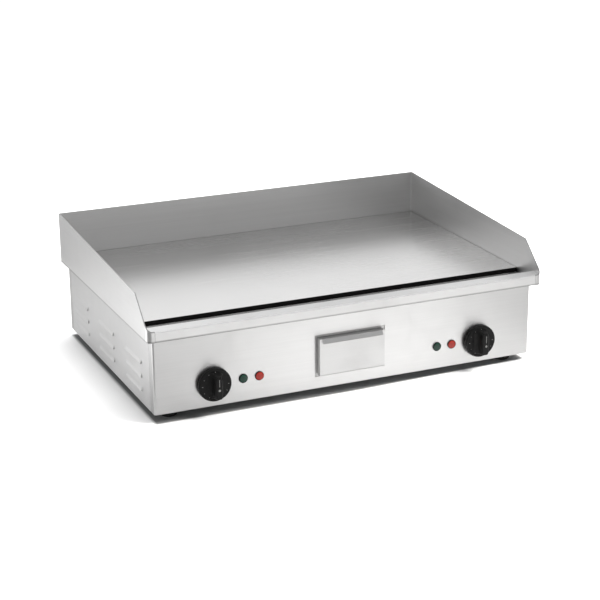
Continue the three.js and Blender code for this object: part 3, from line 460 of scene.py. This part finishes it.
def braided_sleeve():
    """Red-brown braid, woven from two sets of strands."""
    sleeve = Recipe("braided_sleeve", Sheen_Weight=0.2)
    one_way = sleeve.waves(260.0, "DIAGONAL", 0.4)
    other_way = sleeve.waves(300.0, "Z", 0.4)
    braid = sleeve.times(one_way, other_way)
    sleeve.set("Base Color", sleeve.ramp(braid, (0.1, (0.16, 0.035, 0.025)), (0.8, (0.42, 0.11, 0.07))))
    sleeve.set("Roughness", sleeve.span(braid, 0.72, 0.55))
    sleeve.bump(braid, 0.3 * MM, 0.7)
    return sleeve.material


# Painted light and shade: the two guards are one steel, given a lighter level on the left and a darker
# one on the right for how the light falls on each.
GUARD_LIT_LEVELS = {"left": 0.69, "right": 0.63}

STEEL_X = brushed_steel("brushed_steel_across", "X", 0.66, 0.34)
STEEL_Y = brushed_steel("brushed_steel_lengthwise", "Y", 0.66, 0.34)
# Painted shade: the rear panel is the same steel given a darker level.
REAR_STEEL = brushed_steel("brushed_steel_rear", "X", 0.55, 0.37)
# The lip gets a painted shade band along its bottom edge and a painted highlight on its bends and ends.
LIP_STEEL = brushed_steel("brushed_steel_lip", "X", 0.60, 0.34, hem_shade_piece="front_lip", paints_fold_highlight=True)
# Painted shade: the body's sides are the same steel given a darker level than the guards, with painted
# shade on whatever looks upwards.
SIDE_STEEL = brushed_steel("brushed_steel_side", "Y", 0.63, 0.36, painted_top_shade_level=0.50)
# Each guard gets painted shade on whatever looks upwards and a painted shade band along its bottom edge.
GUARD_STEEL = {
    side: brushed_steel(
        f"brushed_steel_{side}_guard", "Y", level, 0.34, painted_top_shade_level=0.36, hem_shade_piece=f"{side}_splash_guard"
    )
    for side, level in GUARD_LIT_LEVELS.items()
}
DRAWER_STEEL = brushed_steel("brushed_steel_drawer", "X", 0.60, 0.38)
# Painted shade: the drawer's surround, seen through the gap round the drawer front, is the same steel
# given a darker level for the shade in its recess.
SURROUND_STEEL = brushed_steel("brushed_steel_surround", "X", 0.50, 0.42)
PLATE = ground_plate()
ZINC = zinc_plate()
SCREW = plated_screw()
TUBE = element_tube()
PHENOLIC = moulded("black_phenolic", grey(0.004), grey(0.009), 0.36, gloss=0.16, edge=0.3)
PRINT_AND_HIGHLIGHT = moulded("pale_print_and_highlight", grey(0.14), (0.24, 0.24, 0.23), 0.45)
RUBBER = moulded(
    "black_rubber", grey(0.005), (0.012, 0.012, 0.011), 0.78, texture=900.0, depth=0.08 * MM, gloss=0.3
)
NYLON = moulded(
    "black_nylon", (0.012, 0.012, 0.013), (0.026, 0.026, 0.027), 0.48,
    texture=1200.0, depth=0.05 * MM, edge=0.4,
)
GREEN = lens_plastic("green_lens", (0.001, 0.018, 0.010), (0.003, 0.040, 0.024))
RED = lens_plastic("red_lens", (0.22, 0.012, 0.008), (0.36, 0.026, 0.014))
FIBRE = fibre_blanket()
CERAMIC = glazed_ceramic()
COPPER = yellow_metal("copper", (0.72, 0.36, 0.22), (0.36, 0.17, 0.10), 0.28)
BRASS = yellow_metal("brass", (0.72, 0.54, 0.24), (0.44, 0.32, 0.14), 0.26)
SLEEVE = braided_sleeve()


# ---------------------------------------------------------------- carried-over CAD nodes

WELD_DISTANCE = 1e-6
FLAT_ANGLE = math.radians(0.4)  # faces that meet at less than this become one
SHARP_ANGLE = math.radians(32.0)  # edges sharper than this are rounded


def shade_smooth(piece):
    """Smooth shading in which the large faces stay flat."""
    normals = piece.modifiers.new("normals", "WEIGHTED_NORMAL")
    normals.keep_sharp = False
    polygons = piece.data.polygons
    polygons.foreach_set("use_smooth", [True] * len(polygons))


def smooth_edges(piece, width):
    """Rounds a piece's sharp edges so that they catch the light, and shades its bends smooth."""
    weld = piece.modifiers.new("weld", "WELD")
    weld.merge_threshold = WELD_DISTANCE
    merge = piece.modifiers.new("merge_flats", "DECIMATE")
    merge.decimate_type = "DISSOLVE"
    merge.angle_limit = FLAT_ANGLE
    bevel = piece.modifiers.new("edges", "BEVEL")
    bevel.width = width
    bevel.segments = 2
    bevel.limit_method = "ANGLE"
    bevel.angle_limit = SHARP_ANGLE
    bevel.harden_normals = False
    shade_smooth(piece)


def dress(name, material, edge=0.3 * MM):
    """Gives a CAD node its material and its rounded edges."""
    node = NODES[name]
    for attribute in ("custom_normal", "sharp_edge", "sharp_face"):
        if attribute in node.data.attributes:
            node.data.attributes.remove(node.data.attributes[attribute])
    node.data.materials.clear()
    node.data.materials.append(material)
    smooth_edges(node, edge)


def dress_sheets():
    """The sheet metal of the body and the drawer, and the griddle plate."""
    for name in ("front_panel", "rear_splash_guard", "grease_gutter"):
        dress(name, STEEL_X)
    dress("rear_panel", REAR_STEEL)
    dress("front_lip", LIP_STEEL)
    dress("drawer_front", DRAWER_STEEL)
    dress("drawer_surround", SURROUND_STEEL)
    dress("drawer_box", STEEL_Y)
    dress("griddle_plate", PLATE, 0.7 * MM)
    for side in SIDES:
        dress(f"{side}_side_panel", SIDE_STEEL)
        dress(f"{side}_splash_guard", GUARD_STEEL[side])
        dress(f"drawer_runner_{side}", ZINC)
    for name in ("base_plate", "drain_spout", "heat_shield_pan"):
        dress(name, ZINC)


def dress_heating(side):
    """One of the two heating zones with its controls."""
    dress(f"element_clamp_bar_{side}", ZINC)
    dress(f"thermostat_shaft_{side}", SCREW)
    for which in ("outer", "inner"):
        dress(f"clamp_nut_{side}_{which}", SCREW)
    dress(f"heating_element_{side}", TUBE)
    dress(f"insulation_blanket_{side}", FIBRE, 2.5 * MM)
    dress(f"thermostat_body_{side}", CERAMIC, 0.8 * MM)
    dress(f"thermostat_bulb_{side}", COPPER, 0.2 * MM)
    dress(f"wiring_loom_{side}", SLEEVE, 0.2 * MM)
    for which, tint in (("power", GREEN), ("heating", RED)):
        dress(f"{which}_lamp_{side}_body", NYLON)
        dress(f"{which}_lamp_{side}_lens", tint, 0.1 * MM)
    dress(f"knob_{side}", PHENOLIC, 0.6 * MM)


def dress_fittings():
    """Everything else: the terminal block, the cord's gland, the earth stud and the feet."""
    dress("terminal_block", CERAMIC, 0.6 * MM)
    for name in ("body", "dome_nut", "locknut"):
        dress(f"cable_gland_{name}", NYLON, 0.4 * MM)
    dress("earth_stud", BRASS, 0.2 * MM)
    dress("earth_nut", BRASS)
    for corner in CORNERS:
        dress(f"foot_{corner}", RUBBER, 0.5 * MM)
        dress(f"foot_screw_{corner}", SCREW, 0.2 * MM)


dress_sheets()
for side in SIDES:
    dress_heating(side)
dress_fittings()


# ---------------------------------------------------------------- mesh builders
# Small turned and moulded pieces are built in millimetres with +Z pointing out of the surface that
# they sit on and +Y upwards, and are then turned to face the way they do on the griddle.

FACING_USER = Matrix(((1, 0, 0), (0, 0, -1), (0, 1, 0)))
FACING_BACK = Matrix(((-1, 0, 0), (0, 0, 1), (0, 1, 0)))
FACING_DOWN = Matrix(((1, 0, 0), (0, -1, 0), (0, 0, -1)))
FACING_UP = Matrix.Identity(3)
ON_AXIS = 0.01  # a point on the axis is a ring of this radius


def loft(rings, closed=False):
    """Skins a list of equal rings of points; open ends are capped."""
    shape = bmesh.new()
    rows = [[shape.verts.new(Vector(point) * MM) for point in ring] for ring in rings]
    pairs = list(zip(rows, rows[1:]))
    if closed:
        pairs.append((rows[-1], rows[0]))
    for lower, upper in pairs:
        for i in range(len(lower)):
            j = (i + 1) % len(lower)
            shape.faces.new((lower[i], lower[j], upper[j], upper[i]))
    if not closed:
        shape.faces.new(list(reversed(rows[0])))
        shape.faces.new(rows[-1])
    return shape


def circle(sides):
    """The angles of the points round a ring."""
    return [2 * math.pi * number / sides for number in range(sides)]


def turned(profile, sides=48, flutes=0, flute_depth=0.0, fluted=(0.0, 0.0)):
    """A turned piece: profile is (radius, height) from one end round to the other. Heights inside
    the fluted range get grooves cut round them."""
    rings = []
    closed = profile[0][0] > ON_AXIS
    for radius, height in profile:
        depth = flute_depth if fluted[0] <= height <= fluted[1] else 0.0
        ring = []
        for angle in circle(sides):
            r = max(radius, ON_AXIS) - depth * (0.5 - 0.5 * math.cos(angle * flutes))
            ring.append((r * math.cos(angle), r * math.sin(angle), height))
        rings.append(ring)
    return loft(rings, closed)


def rounded_ring(half_x, half_y, height, count=64, squareness=4.5):
    """A rectangle with softly rounded corners, the squarer the higher squareness is."""
    ring = []
    for angle in circle(count):
        c = math.cos(angle)
        s = math.sin(angle)
        x = half_x * math.copysign(abs(c) ** (2 / squareness), c)
        y = half_y * math.copysign(abs(s) ** (2 / squareness), s)
        ring.append((x, y, height))
    return ring


def add_shape(shape, extra):
    """Copies one bmesh into another and returns the first."""
    mesh = bpy.data.meshes.new("part")
    extra.to_mesh(mesh)
    extra.free()
    shape.from_mesh(mesh)
    bpy.data.meshes.remove(mesh)
    return shape


def make_piece(name, shape, place, turn, body, slot, *materials):
    """Turns a bmesh into a piece that rides on a body. The slot argument is not used."""
    bmesh.ops.recalc_face_normals(shape, faces=shape.faces)
    mesh = bpy.data.meshes.new(name)
    shape.to_mesh(mesh)
    shape.free()
    for material in materials:
        mesh.materials.append(material)
    piece = bpy.data.objects.new(name, mesh)
    bpy.context.scene.collection.objects.link(piece)
    piece.matrix_world = Matrix.Translation(place) @ turn.to_4x4()
    shade_smooth(piece)
    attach(piece, body)
    return piece


# ---------------------------------------------------------------- controls

PANEL_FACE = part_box("front_panel")[0].y
GRIP_RISE = 18.5  # from the skirt's face to the ridge of the grip, in millimetres
MARK_ROOT = 0.3  # how far below the ridge the marks on the grip begin, in millimetres
TICKS = 10
HOLDER_FACE = 1.8  # how far a lamp's bezel stands off the panel, in millimetres
LAMP_TINTS = {"power": (GREEN, "green_lens"), "heating": (RED, "red_lens")}


def knob_skirt(rim, face):
    """Deep round skirt with a finely ribbed wall."""
    return turned([
        (0, face - 2.1), (rim - 3.4, face - 2.1), (rim - 2.6, face - 2.9), (rim - 2.2, 1.9),
        (rim - 1.0, 1.8), (rim - 0.3, 2.2), (rim, 3.0), (rim, 3.4), (rim, face - 3.5),
        (rim - 0.1, face - 3.1), (rim - 0.4, face - 2.0), (rim - 1.0, face - 1.1),
        (rim - 2.0, face - 0.4), (rim - 3.2, face - 0.1), (rim - 4.1, face - 0.2),
        (rim - 4.8, face - 0.5), (rim - 5.6, face - 0.7), (12.0, face - 0.8), (0, face - 0.8),
    ], sides=192, flutes=48, flute_depth=0.35, fluted=(3.3, face - 3.4))


def knob_grip(face, rise):
    """Bar that narrows from a spread foot to its ridge: half width, half length, share of the rise."""
    sections = [
        (14.2, 23.4, -0.06), (13.2, 22.8, -0.03), (11.9, 22.2, 0.02), (10.4, 21.7, 0.12),
        (9.0, 21.3, 0.25), (7.9, 20.9, 0.42), (7.1, 20.5, 0.58), (6.5, 20.1, 0.76),
        (6.1, 19.7, 0.87), (5.7, 19.3, 0.93), (5.1, 18.7, 0.965), (4.4, 17.9, 0.982),
        (3.4, 16.8, 0.989),
    ]
    return loft([rounded_ring(x, y, face + share * rise) for x, y, share in sections])


def knob_tick(number, rim, face):
    """One of the marks printed round the skirt, every 30 degrees; each third one is longer."""
    length = 2.2 if number % 3 == 0 else 1.3
    tick = loft([rounded_ring(0.35, length / 2, z, 16, 6.0) for z in (face - 1.0, face + 0.05)])
    from_axis = rim - 6.2
    outwards = Matrix.Translation(Vector((0, from_axis, 0)) * MM)
    turn = Matrix.Rotation(math.radians(30 * number), 4, "Z") @ outwards
    bmesh.ops.transform(tick, matrix=turn, verts=tick.verts)
    return tick


def knob_marks(rim, face, top):
    """The pale printed pointer on the grip, a pale dot on it that is a painted highlight, and the ticks
    round the skirt.
    """
    pointer = loft([rounded_ring(0.5, 6.5, z, 24, 6.0) for z in (top - 0.2, top + 0.27)])
    bmesh.ops.translate(pointer, verts=pointer.verts, vec=Vector((0, 9.5, 0)) * MM)
    # painted highlight: a pale dot where the grip's ridge shows a bright spot of light
    dot = turned([
        (0, top - 0.2), (2.1, top - 0.2), (2.1, top + 0.2), (1.9, top + 0.29), (0, top + 0.29),
    ], sides=32)
    bmesh.ops.translate(dot, verts=dot.verts, vec=Vector((0, -3.0, 0)) * MM)
    marks = add_shape(pointer, dot)
    for number in range(TICKS):
        marks = add_shape(marks, knob_tick(number, rim, face))
    for polygon in marks.faces:
        polygon.material_index = 1
    return marks


def make_knob(side):
    """Ribbed skirt with a printed scale, and a tapered grip bar that carries a pale pointer."""
    node = f"knob_{side}"
    rim = half_width(node)
    ridge = (PANEL_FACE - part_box(node)[0].y) / MM
    face = ridge - GRIP_RISE
    shape = add_shape(knob_skirt(rim, face), knob_grip(face, GRIP_RISE))
    shape = add_shape(shape, knob_marks(rim, face, ridge - MARK_ROOT))
    place = middle(node)
    place.y = PANEL_FACE
    piece = make_piece(f"{node}_moulding", shape, place, FACING_USER, f"{side}_knob", "black_phenolic",
                       PHENOLIC, PRINT_AND_HIGHLIGHT)
    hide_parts(node)


def lamp_holder(lens, bezel):
    """Flat black bezel on a body that reaches back through the panel."""
    face = HOLDER_FACE
    return turned([
        (0, 0.9), (lens + 0.2, 0.9), (lens + 0.25, face - 0.15), (lens + 0.4, face), (bezel - 0.4, face),
        (bezel - 0.1, 1.6), (bezel, 1.3), (bezel, 0.6), (bezel - 0.2, 0.35), (6.0, 0.3), (6.0, -23.6),
        (5.6, -24.0), (4.0, -24.0), (4.0, -29.6), (3.6, -30.0), (0, -30.0),
    ])


def lamp_lens(lens):
    """Low dome with fine rings round it."""
    base = 1.2
    rise = 1.5
    ring_height = 0.07
    steps = 24
    profile = [(0, base), (lens, base), (lens, HOLDER_FACE)]
    for step in range(1, steps + 1):
        angle = math.pi / 2 * step / steps
        ripple = ring_height * math.sin(step * math.pi / 2) if step < steps else 0.0
        profile.append((lens * math.cos(angle), HOLDER_FACE + (rise + ripple) * math.sin(angle)))
    return turned(profile)


def make_lamp(which, side):
    """Pilot lamp: a black holder and a ringed, tinted lens."""
    node = f"{which}_lamp_{side}"
    bezel = half_width(f"{node}_body")
    lens = half_width(f"{node}_lens")
    place = middle(f"{node}_body")
    place.y = PANEL_FACE
    body = make_piece(f"{node}_holder", lamp_holder(lens, bezel), place, FACING_USER, "housing",
                      "black_nylon", NYLON)
    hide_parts(f"{node}_body")
    tint, slot = LAMP_TINTS[which]
    glass = make_piece(f"{node}_glass", lamp_lens(lens), place, FACING_USER, "housing", slot, tint)
    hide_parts(f"{node}_lens")


for side in SIDES:
    make_knob(side)
    make_lamp("power", side)
    make_lamp("heating", side)


# ---------------------------------------------------------------- feet, screws, gland and welds

SCREW_RADIUS = 3.6
SCREW_HEIGHT = 2.1


def make_foot(corner):
    """Moulded rubber foot with two fine grooves round it and a counterbore for its screw."""
    node = f"foot_{corner}"
    low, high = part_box(node)
    radius = half_width(node)
    height = (high.z - low.z) / MM
    place = middle(node)
    place.z = low.z
    head_hole = 5.5
    shank_hole = 2.4
    head_depth = 7.0
    profile = [
        (head_hole, 0.0), (radius - 2.2, 0.0), (radius - 1.5, 0.3), (radius - 0.5, 1.6), (radius, 3.2),
    ]
    for groove in (5.4, 9.0):
        profile += [
            (radius, groove - 0.7), (radius - 0.5, groove - 0.4),
            (radius - 0.5, groove + 0.4), (radius, groove + 0.7),
        ]
    profile += [
        (radius, height - 0.8), (radius - 0.3, height - 0.2), (radius - 0.8, height),
        (shank_hole, height), (shank_hole, head_depth), (head_hole, head_depth),
    ]
    piece = make_piece(f"{node}_rubber", turned(profile), place, FACING_UP, "housing",
                       "black_rubber", RUBBER)
    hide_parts(node)


def screw_head(radius, height):
    """Pan head with a cross recess pressed into it."""
    rows = 7
    tip = 0.02
    arm = 0.16 * radius
    reach = 0.58 * radius
    recess = 0.55 * height
    angles = circle(64)
    rings = [[(radius * math.cos(a), radius * math.sin(a), 0.0) for a in angles]]
    for row in range(rows + 1):
        climb = row / rows * math.pi / 2
        r = max(radius * math.cos(climb), tip)
        z = height * (0.35 + 0.65 * math.sin(climb) ** 0.8)
        ring = []
        for a in angles:
            x = r * math.cos(a)
            y = r * math.sin(a)
            in_recess = min(abs(x), abs(y)) < arm and max(abs(x), abs(y)) < reach
            ring.append((x, y, z - recess if in_recess else z))
        rings.append(ring)
    return loft(rings)


def make_screw(name, place, turn):
    head = screw_head(SCREW_RADIUS, SCREW_HEIGHT)
    make_piece(name, head, place, turn, "housing", "zinc_plated_steel", SCREW)


def make_screws():
    """Eight screws through the rear panel and four through the base plate."""
    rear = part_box("rear_panel")[1]
    base_low, base_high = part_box("base_plate")
    outer = rear.x - 10 * MM
    inner = 120 * MM
    behind = [(x, z) for x in (-outer, -inner, inner, outer) for z in (28 * MM, 132 * MM)]
    for number, (x, z) in enumerate(behind, 1):
        make_screw(f"rear_screw_{number}", Vector((x, rear.y, z)), FACING_BACK)
    off_middle = 180 * MM
    in_from_edge = 30 * MM
    rows = (base_low.y + in_from_edge, base_high.y - in_from_edge)
    below = [(x, y) for x in (-off_middle, off_middle) for y in rows]
    for number, (x, y) in enumerate(below, 1):
        make_screw(f"base_screw_{number}", Vector((x, y, base_low.z)), FACING_DOWN)


def make_gland_nut():
    """Ribbed dome nut that closes the cable gland on its cord."""
    node = "cable_gland_dome_nut"
    low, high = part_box(node)
    radius = half_width(node)
    length = (high.y - low.y) / MM
    place = middle(node)
    place.y = low.y
    shape = turned([
        (6.5, 0.0), (radius - 0.6, 0.0), (radius, 0.6), (radius, 1.0), (radius, 8.0),
        (radius - 0.3, 8.8), (radius - 1.1, length * 0.78), (radius - 1.8, length * 0.9),
        (radius - 2.9, length - 0.3), (radius - 3.5, length), (7.1, length), (6.5, length - 0.6),
    ], sides=180, flutes=18, flute_depth=0.7, fluted=(0.9, 8.1))
    piece = make_piece(f"{node}_ribbed", shape, place, FACING_BACK, "housing", "black_nylon", NYLON)
    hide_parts(node)


def make_weld(name, start, end, radius, seed):
    """A ground-back weld bead along an inside corner, with the faint ripple of its puddles."""
    ring_spacing = 0.6 * MM
    tapered_end = 0.35
    run = Vector(end) - Vector(start)
    steps = int(run.length / ring_spacing)
    rings = []
    for step in range(steps + 1):
        along = run.length / MM * step / steps
        swell = 1 + 0.10 * math.sin(along * 2.4 + seed) + 0.05 * math.sin(along * 0.31 + 2 * seed)
        if step in (0, steps):
            swell *= tapered_end
        r = radius * swell
        rings.append([(r * math.cos(a), r * math.sin(a), along) for a in circle(12)])
    turn = run.to_track_quat("Z", "Y").to_matrix()
    make_piece(name, loft(rings), Vector(start), turn, "housing", "brushed_stainless", STEEL_X)


def weld_rear_corners():
    """A bead up each corner between the rear splash guard and a side one."""
    bead = 0.8
    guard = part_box("rear_splash_guard")[1]
    y = guard.y - 1.6 * MM
    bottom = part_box("griddle_plate")[1].z + 0.4 * MM
    top = guard.z - 1 * MM
    for side, sign in (("left", -1), ("right", 1)):
        x = sign * (guard.x + 0.1 * MM)
        make_weld(f"rear_corner_weld_{side}", (x, y, bottom), (x, y, top), bead, sign)


for corner in CORNERS:
    make_foot(corner)
make_screws()
make_gland_nut()
weld_rear_corners()


# ---------------------------------------------------------------- the studio

FLOOR_TONE = 0.77
CUT_OUT_GAIN = 1.54  # how much the camera's own view of the floor is lifted towards white
# The next two numbers paint shadow onto the floor: in the gap under the body and along the body's left
# side.
UNDER_SHADOW_GAIN = 0.30  # and how far it is darkened in the gap under the body
SIDE_SHADE = 0.15  # how much of the lift is lost close to the body's left side
FLOOR_SIZE = 24
LIT_POINT = Vector((0, 0, 0.1))  # where the lights point

FRONT_WALL = 0.62  # the studio's brightness behind the viewer
BACK_WALL = 1.44  # and behind the griddle
HIGH_WALL_SHARE = 0.50  # the share of it that is left high up
CEILING = 0.42  # the brightness added straight overhead


def floor_in_reflections(paper, across, depth):
    """Painted light: how bright the steel sees the floor, with a painted pool of light in front of the
    middle, falling off past the corners and, beside and behind the body, towards the back."""
    middle_x = 0.10
    off_middle = paper.minus(across, middle_x)
    off_middle = paper.times(off_middle, off_middle)
    corners = 0.15
    before_middle = paper.span(off_middle, 1.00, 0.46, 0.0, corners)
    close_in = paper.span(depth, 0.0, 0.28, -0.50, -0.30)
    far_out = paper.span(depth, 1.0, 0.0, -0.74, -0.66)
    far_corners = paper.times(far_out, paper.span(off_middle, -0.26, 0.80, 0.0, corners))
    front = paper.plus(paper.plus(before_middle, close_in), far_corners)
    front = paper.times(front, paper.span(across, 0.35, 1.0, -0.52, -0.38))
    front = paper.times(front, paper.span(across, 1.0, 0.78, 0.30, 0.48))
    towards_back = paper.span(depth, 1.65, 0.44, 0.0, 0.75)
    beside = paper.times(towards_back, paper.span(across, 1.28, 0.65, -0.62, -0.44))
    return paper.blend(paper.span(depth, 0.0, 1.0, -0.25, 0.0), front, beside)


def floor_in_camera(paper, across, depth):
    """How far the camera's view of the floor is lifted: to white in the open and a little less close to
    the body's left side, a painted shadow.
    The gap under the body, which draws in towards the right, is darkened as a painted shadow."""
    low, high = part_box("base_plate")
    half_depth = (high.y - low.y) / 2
    from_centre = paper.absolute(paper.minus(depth, (low.y + high.y) / 2))
    inset = paper.span(across, 0.0, 14 * MM, 0.0, 0.36)
    within_x = paper.span(paper.absolute(across), 1.0, 0.0, high.x - 3 * MM, high.x + 4 * MM)
    within_y = paper.span(paper.plus(from_centre, inset), 1.0, 0.0, half_depth, half_depth + 6 * MM)
    lifted = paper.span(paper.times(within_x, within_y), CUT_OUT_GAIN, UNDER_SHADOW_GAIN)
    shade = paper.span(across, 0.0, SIDE_SHADE, -0.435, -0.365)
    fade = 40 * MM
    shade = paper.times(shade, paper.span(from_centre, 1.0, 0.0, half_depth - fade, half_depth + fade))
    shade = paper.times(shade, paper.span(across, 1.0, 0.0, -0.34, -0.30))
    return paper.times(lifted, paper.minus(1.0, shade))


def make_floor():
    """White paper. The camera sees it burnt out to white apart from the shadows, with a shadow painted
    under the body and along its left side;
    reflections see painted light, a floor painted bright in front that falls off towards the back."""
    bpy.ops.mesh.primitive_plane_add(size=FLOOR_SIZE, location=(0, 0, 0))
    floor = bpy.context.object
    floor.name = "floor"
    paper = Recipe("floor_paper", Roughness=0.9, Specular_IOR_Level=0.1)
    across = paper.along_axis(paper.place, "X")
    depth = paper.along_axis(paper.place, "Y")
    rays = paper.add("ShaderNodeLightPath").outputs
    camera_gain = paper.minus(floor_in_camera(paper, across, depth), 1.0)
    # painted light: the floor's brightness as the steel sees it
    mirror_gain = paper.minus(floor_in_reflections(paper, across, depth), 1.0)
    seen_by_camera = paper.times(rays["Is Camera Ray"], camera_gain)
    seen_in_mirrors = paper.times(rays["Is Glossy Ray"], mirror_gain)
    gain = paper.plus(paper.plus(seen_by_camera, seen_in_mirrors), 1.0)
    tone = paper.times(gain, FLOOR_TONE)
    colour = paper.add("ShaderNodeCombineColor")
    paper.feed_all(colour, {"Red": tone, "Green": tone, "Blue": tone})
    paper.set("Base Color", colour.outputs["Color"])
    floor.data.materials.append(paper.material)


def make_light(name, place, size, power, colour=(1, 1, 1)):
    """A soft rectangular light that does not show in reflections."""
    lamp = bpy.data.lights.new(name, "AREA")
    lamp.shape = "RECTANGLE"
    lamp.size, lamp.size_y = size
    lamp.energy = power
    lamp.color = colour
    light = bpy.data.objects.new(name, lamp)
    bpy.context.scene.collection.objects.link(light)
    light.location = place
    light.rotation_euler = (LIT_POINT - Vector(place)).to_track_quat("-Z", "Y").to_euler()
    light.visible_glossy = False


def make_world():
    """Soft studio: walls that are dim behind the viewer, bright behind the griddle and half as bright
    higher up, under a ceiling that is lit straight overhead."""
    world = bpy.data.worlds.new("studio")
    bpy.context.scene.world = world
    world.use_nodes = True
    tree = world.node_tree
    place = tree.nodes.new("ShaderNodeTexCoord")
    split = tree.nodes.new("ShaderNodeSeparateXYZ")
    tree.links.new(place.outputs["Generated"], split.inputs["Vector"])

    def span(axis, from_low, from_high, low, high):
        node = tree.nodes.new("ShaderNodeMapRange")
        node.interpolation_type = "SMOOTHSTEP"
        tree.links.new(split.outputs[axis], node.inputs["Value"])
        limits = {"From Min": from_low, "From Max": from_high, "To Min": low, "To Max": high}
        for name, number in limits.items():
            node.inputs[name].default_value = number
        return node.outputs["Result"]

    def calculate(operation, first, second):
        node = tree.nodes.new("ShaderNodeMath")
        node.operation = operation
        tree.links.new(first, node.inputs[0])
        tree.links.new(second, node.inputs[1])
        return node.outputs["Value"]

    towards_back = span("Y", -0.5, 0.7, FRONT_WALL, BACK_WALL)
    by_height = span("Z", 0.33, 0.64, 1.0, HIGH_WALL_SHARE)
    ceiling = span("Z", 0.57, 0.88, 0.0, CEILING)
    walls = calculate("MULTIPLY", towards_back, by_height)
    background = tree.nodes["Background"]
    tree.links.new(calculate("ADD", walls, ceiling), background.inputs["Color"])
    background.inputs["Strength"].default_value = 1.0


make_floor()
make_world()
make_light("key", place=(1.7, -1.5, 2.4), size=(1.0, 1.0), power=85, colour=(1.0, 0.985, 0.96))
make_light("overhead", place=(0.2, 0.2, 2.8), size=(2.4, 2.0), power=60)

bpy.context.scene.view_settings.view_transform = "Standard"
bpy.context.scene.view_settings.look = "None"

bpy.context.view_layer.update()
